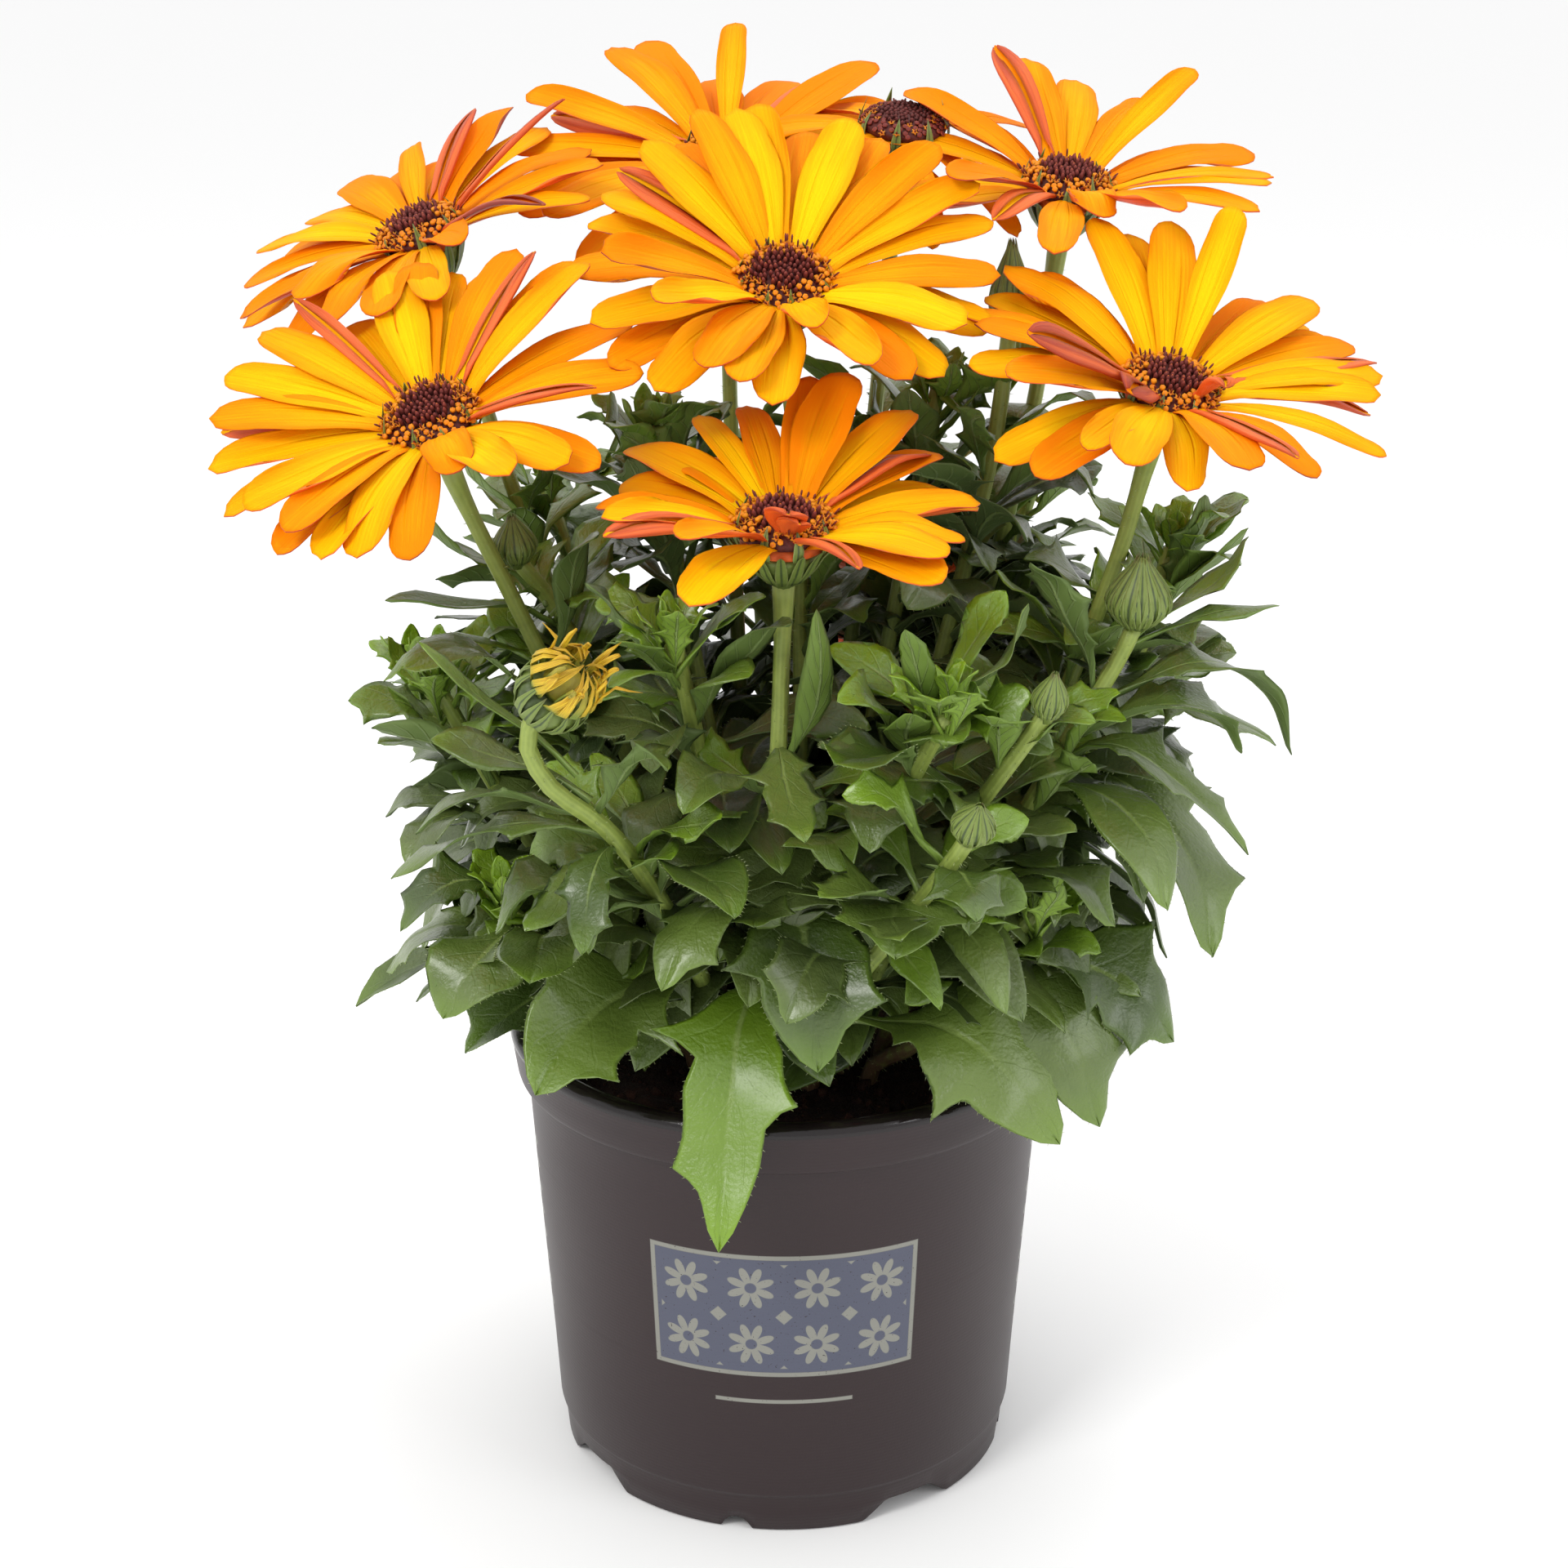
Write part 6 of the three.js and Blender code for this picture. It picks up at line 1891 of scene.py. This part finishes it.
@dataclass
class LeafyStem:
    """A stem with its leaves, hairs, and the cup or bud at its end."""

    name: str
    spec: StemSpec
    sunk: float = 73.0
    soil_top: float = 83.0
    step: float = 34.0
    thin: float = 1.55
    thick: float = 1.6
    ranked: float = 60.0
    fewest: int = 7
    bare: float = 88.0
    spacing: float = 3.3
    hairs: float = 1.8
    bloom_cup: Sequence[Row] = ((1.75, -9.2), (2.4, -8.2), (3.7, -6.9), (5.3, -4.8), (6.3, -3.0), (6.5, -2.2),
                                (5.6, -2.0))
    yellow_cup: Sequence[Row] = ((1.9, -7.6), (3.4, -6.3), (5.0, -4.4), (5.8, -2.2), (5.9, -1.2), (5.1, 0.1))
    bud_form: Sequence[Row] = ((0.62, 0.1), (0.93, 0.26), (0.9, 0.42), (0.66, 0.6), (0.36, 0.76), (0.14, 0.9))

    def __post_init__(self) -> None:
        """Lays the stem's path and reads its solid."""
        (x, y), *rest = self.spec.via
        self.bloom = BLOOMS.get(self.name)
        if self.bloom:
            seat = self.bloom.seat
            end = [seat.at - seat.out * 14, seat.at - seat.out * 8]
        else:
            end = [self.spec.end]
        self.path = Path([(x, y, self.sunk), (x, y, self.soil_top + 2), *rest, *end])
        self.radius = self.thin if self.bloom else self.thick
        self.solid = solid_points(f"stem_{self.name}")
        self.skin = Skin()
        self.luck = draws(sum_of(self.name) * 13 + 5)

    def at_height(self, height: float) -> Cell:
        """The point at a height on the path's straight steps, as the solids have them.

        Args:
            height: The height.

        Returns:
            The point, on beyond the last step where the path ends lower.
        """
        steps = math.ceil(self.path.length / self.step)
        points = self.path.at_length(np.linspace(0, 1, steps + 1))
        above = int(np.argmax(points[:, 2] >= height)) if points[-1, 2] >= height else steps
        low, high = points[max(above, 1) - 1], points[max(above, 1)]
        return lerp(low, high, (height - low[2]) / (high[2] - low[2]))

    def ruled(self, rule: SpiralRule, i: int, count: int, luck: Iterator[float]) -> Leaf:
        """Sets out a leaf of a rule, whose rank runs from `ranked` below the top leaf up to it.

        Args:
            rule: The rule.
            i: The leaf's number.
            count: How many leaves the rule has on this stem.
            luck: The draws.

        Returns:
            The leaf.
        """
        top = self.spec.leaf_top
        height = lerp(rule.foot, top, ((i + 0.5) / count) ** rule.gather)
        rank = min(1.0, max(0.0, 1 - (top - height) / self.ranked))
        return rule.leaf(i, self.at_height(height), rank, luck)

    def spray(self) -> list[Leaf]:
        """The leaves that the solids have by rule."""
        count, luck = self.spec.spray, draws(hash_of(self.name))
        return [self.ruled(SPRAY, i, count, luck) for i in range(count)]

    def filling(self) -> list[Leaf]:
        """Sets out more leaves between those of the solids, and a tuft at a shoot's end.

        Returns:
            The leaves.
        """
        luck, leaves = self.luck, []
        count = max(self.fewest, round((self.spec.leaf_top - self.bare) / self.spacing))
        for i in range(count):
            leaf = self.ruled(FILLING, i, count, luck)
            leaf.chance, leaf.wave = next(luck), next(luck)
            leaves.append(leaf)
        if not self.bloom and not self.name.startswith("bud_"):
            leaves += self.tuft()
        return leaves

    def tuft(self) -> list[Leaf]:
        """Sets out small upright young leaves round the end of a shoot.

        Returns:
            The leaves.
        """
        luck, leaves = self.luck, []
        end = self.path.at(np.array(1.0))
        for i in range(11):
            heading = math.radians(GOLDEN_TURN * i + 20 * next(luck))
            rise = math.radians(38 + 4.2 * i + 10 * next(luck))
            long = lerp(17, 8, i / 10) * (0.85 + 0.3 * next(luck))
            root = end - UP * (6 - 0.5 * i)
            leaves.append(Leaf(root, root + aim(heading, rise) * long, lerp(5.5, 3.0, i / 10), 0.08 * long,
                               30 * (next(luck) - 0.5), B if i < 5 else E, 0.7 + 0.03 * i, next(luck), 0.3))
        return leaves

    def bend_of(self, leaf: Leaf) -> Row | None:
        """The bend that a leaf took in the solids: the first whose tip lies at a corner of the solid."""
        return next((bend for bend in BENDS
                     if np.linalg.norm(self.solid - leaf.bent(*bend).tip, axis=1).min() < SAME), None)

    def build_leaves(self) -> None:
        """Grows the leaves of the solids as they were bent there, then the filling ones that fit."""
        told = []
        for height, tip, width, arch, roll, edge, *turned in self.spec.leaves:
            roll, age = turned or (roll, 0.15 if width > 7 else 0.4)
            told.append(Leaf(self.at_height(height), np.array(tip, float), width, arch, roll, edge, age))
        for number, leaf in enumerate([*told, *self.spray()]):
            bend = self.bend_of(leaf)
            if bend or number < len(told):
                grown = leaf.bent(*(bend or BENDS[0]))
                grown.chance, grown.wave = next(self.luck), next(self.luck)
                grown.grow(self.skin)
        for leaf in self.filling():
            if leaf.clear():
                leaf.grow(self.skin)

    def build_stalk(self) -> None:
        """Sweeps the stalk: rings of radius r (1 + 0.05 cos 5a), thicker at the foot and under a bloom."""
        share = np.linspace(0, 1, max(12, int(self.path.length / 4)))
        points = self.path.at_length(share)
        way = unit(np.gradient(points, axis=0))
        side = unit(np.cross(way, np.array([0.31, 0.95, 0.05])))
        other = np.cross(way, side)
        a = circle(12)
        taper = 1.0 + 0.12 * (1 - smooth(share * 4)) - 0.1 * share
        swell = 0.35 * smooth((share - 0.9) / 0.1) if self.bloom else 0.0 * share
        radius = self.radius * ((1 + 0.05 * np.cos(5 * a)) * taper[:, None] + swell[:, None])
        spokes = np.cos(a)[:, None] * side[:, None] + np.sin(a)[:, None] * other[:, None]
        self.skin.loft(points[:, None] + radius[..., None] * spokes, Green.STEM)
        self.build_hairs(points, way, side, other)

    def build_hairs(self, points: Cell, way: Cell, side: Cell, other: Cell) -> None:
        """Bristles the stalk with spikes that stand out and a little up.

        Args:
            points: The stalk's middle line.
            way: The way it runs at each point.
            side: A way across it at each point.
            other: The way across both.
        """
        luck = np.random.default_rng(sum_of(self.name) + 3)
        n = int(self.path.length * self.hairs)
        spot = luck.uniform(0.12, 0.98, n) * (len(points) - 1)
        low, part = spot.astype(int), (spot % 1)[:, None]
        turn = luck.uniform(0, 2 * np.pi, n)[:, None]
        out = np.cos(turn) * side[low] + np.sin(turn) * other[low]
        at = points[low] * (1 - part) + points[low + 1] * part + out * (self.radius * 0.9)
        axis = out + way[low] * luck.uniform(-0.1, 0.5, (n, 1))
        bristle(self.skin, at, axis, way[low], luck.uniform(0.5, 1.15, n))

    def turned(self, seat: Seat, profile: Sequence[Row], ribs: int, depth: float) -> None:
        """Adds a ribbed green body."""
        self.skin.turn(seat, profile, 6 * ribs, Green.BRACT, (0.4, 0.1), ribs, depth)

    def build_cup(self) -> None:
        """The cup under a bloom with two rows of bracts, some of whose tips stand round the disc."""
        seat, luck = self.bloom.seat, self.luck
        self.turned(seat, self.bloom_cup, 12, 0.02)
        for i in range(14):
            track = [(3.4, -7.6), (5.5, -5.0), (6.9, -2.6), (7.9 + next(luck), -0.6), (9.2, 0.2)]
            sliver(self.skin, seat, 360 / 14 * i + 8 * next(luck), track, 2.5, next(luck))
        for i in range(8):
            top = 3.6 + 2.2 * next(luck)
            track = [(7.4, -1.4), (8.3, 0.6), (8.1, 2.2), (7.5 - 0.6 * next(luck), top)]
            sliver(self.skin, seat, 45 * i + 26 * next(luck), track, 2.1, next(luck))

    def build_bud(self, spec: BudSpec) -> None:
        """A shut bud: a ribbed onion clad in two layers of long scales that close over its tip.

        Args:
            spec: The bud's sizes.
        """
        seat = Seat.of(self.spec.end, spec.heading, spec.rise)
        form = np.vstack([(1.2, -1.4), np.array(self.bud_form) * (spec.wide, spec.long)])
        self.turned(seat, form * (0.97, 1.0), spec.scales, 0.03)
        around, pitch = 2 * math.pi * spec.wide / spec.scales, 360 / spec.scales
        for layer, stop in enumerate((0.97, 0.6)):
            height = np.linspace(0, stop, 8) * spec.long
            track = np.column_stack([np.interp(height, form[:, 1], form[:, 0]) + 0.12 + 0.2 * layer, height])
            for i in range(spec.scales):
                angle = pitch * (i + 0.5 * layer) + 5 * next(self.luck)
                sliver(self.skin, seat, angle, track, around * (1.15 - 0.2 * layer), next(self.luck))

    def build_yellow_cup(self) -> None:
        """The ribbed cup of the half-open bud with its long scales."""
        seat = YellowBud().seat
        self.turned(seat, self.yellow_cup, 12, 0.03)
        for i in range(15):
            track = [(2.6, -7.3), (4.9, -5.0), (6.1, -2.4), (6.2, -0.6), (5.3, 1.2 + 2.6 * next(self.luck))]
            sliver(self.skin, seat, 24 * i + 6 * next(self.luck), track, 2.5, next(self.luck))

    def build(self, finishes: Finishes) -> None:
        """Builds the whole stem as one piece.

        Args:
            finishes: The finishes.
        """
        self.build_stalk()
        self.build_leaves()
        if self.bloom:
            self.build_cup()
        if self.name in BUDS:
            self.build_bud(BUDS[self.name])
        if self.name == "bud_yellow":
            self.build_yellow_cup()
        self.skin.piece(f"leafy_stem_{self.name}", "leaves", finishes.green, f"stem_{self.name}")


# ---- studio


@dataclass
class Studio:
    """The camera, soft lamps and pale floor.

    A lamp is its name, place in metres, side in metres, power in watts and colour.
    """

    camera_at: Row = (0.0, -0.504, 0.3124)
    pitch: float = 19.5
    lens: float = 65.625
    sensor: float = 36.0
    reach: tuple[float, float] = (0.01, 50.0)
    aimed_at: Row = (0.0, 0.0, 0.14)
    floor: float = 12.0
    lamps: Sequence[tuple] = (("key", (-0.55, -0.7, 0.95), 0.36, 5.6, (1.0, 0.99, 0.97)),
                              ("fill", (0.8, -0.5, 0.5), 0.4, 1.6, (0.98, 0.99, 1.0)),
                              ("top", (0.1, 0.3, 1.1), 0.5, 2.2, (1.0, 1.0, 1.0)))

    def set_up(self, name: str, data: bpy.types.ID, at: Row, turn: Row) -> Object:
        """Links an object into the scene.

        Args:
            name: Its name.
            data: Its data.
            at: Its place.
            turn: Its turn.

        Returns:
            The object.
        """
        made = bpy.data.objects.new(name, data)
        made.location, made.rotation_euler = at, turn
        bpy.context.scene.collection.objects.link(made)
        return made

    def light(self, name: str, at: Row, size: float, power: float, colour: Row) -> None:
        """Adds a soft square lamp that faces the plant.

        Args:
            name: Its name.
            at: Its place in metres.
            size: Its side in metres.
            power: Its power in watts.
            colour: Its colour.
        """
        data = bpy.data.lights.new(name, "AREA")
        data.shape, data.size, data.energy, data.color = "SQUARE", size, power, colour
        x, y, z = np.array(self.aimed_at) - np.array(at)
        self.set_up(name, data, at, (math.atan2(math.hypot(x, y), -z), 0, math.atan2(y, x) - math.pi / 2))

    def build(self) -> None:
        """Sets up the camera, the world, the lamps and the floor."""
        scene = bpy.context.scene
        data = bpy.data.cameras.new("view")
        data.lens, data.sensor_width = self.lens, self.sensor
        data.clip_start, data.clip_end = self.reach
        scene.camera = self.set_up("view", data, self.camera_at, (math.radians(90 - self.pitch), 0, 0))
        scene.world = bpy.data.worlds.new("soft_room")
        scene.world.use_nodes = True
        colour, strength, *_ = scene.world.node_tree.nodes["Background"].inputs
        colour.default_value, strength.default_value = (1.0, 1.0, 1.0, 1.0), 1.0
        scene.view_settings.view_transform = "Standard"
        for lamp in self.lamps:
            self.light(*lamp)
        s = self.floor
        mesh = bpy.data.meshes.new("floor")
        mesh.from_pydata([(-s, -s, 0), (s, -s, 0), (s, s, 0), (-s, s, 0)], [], [(0, 1, 2, 3)])
        mesh.materials.append(Tree("floor").finish((0.95, 0.95, 0.95), 0.9))
        self.set_up("floor", mesh, (0, 0, 0), (0, 0, 0))


def main() -> None:
    """Builds the studio and the whole plant in order."""
    logging.basicConfig(level=logging.INFO, format="%(name)s: %(message)s")
    Studio().build()
    finishes = Finishes()
    Pot().build(finishes)
    Peat().build(finishes)
    for name, spec in STEMS.items():
        LeafyStem(name, spec).build(finishes)
    for name, spec in BLOOMS.items():
        bloom = Bloom(name, spec)
        bloom.build_rays(finishes)
        bloom.build_disc(finishes)
    YellowBud().build(finishes)


if __name__ == "__main__":
    main()
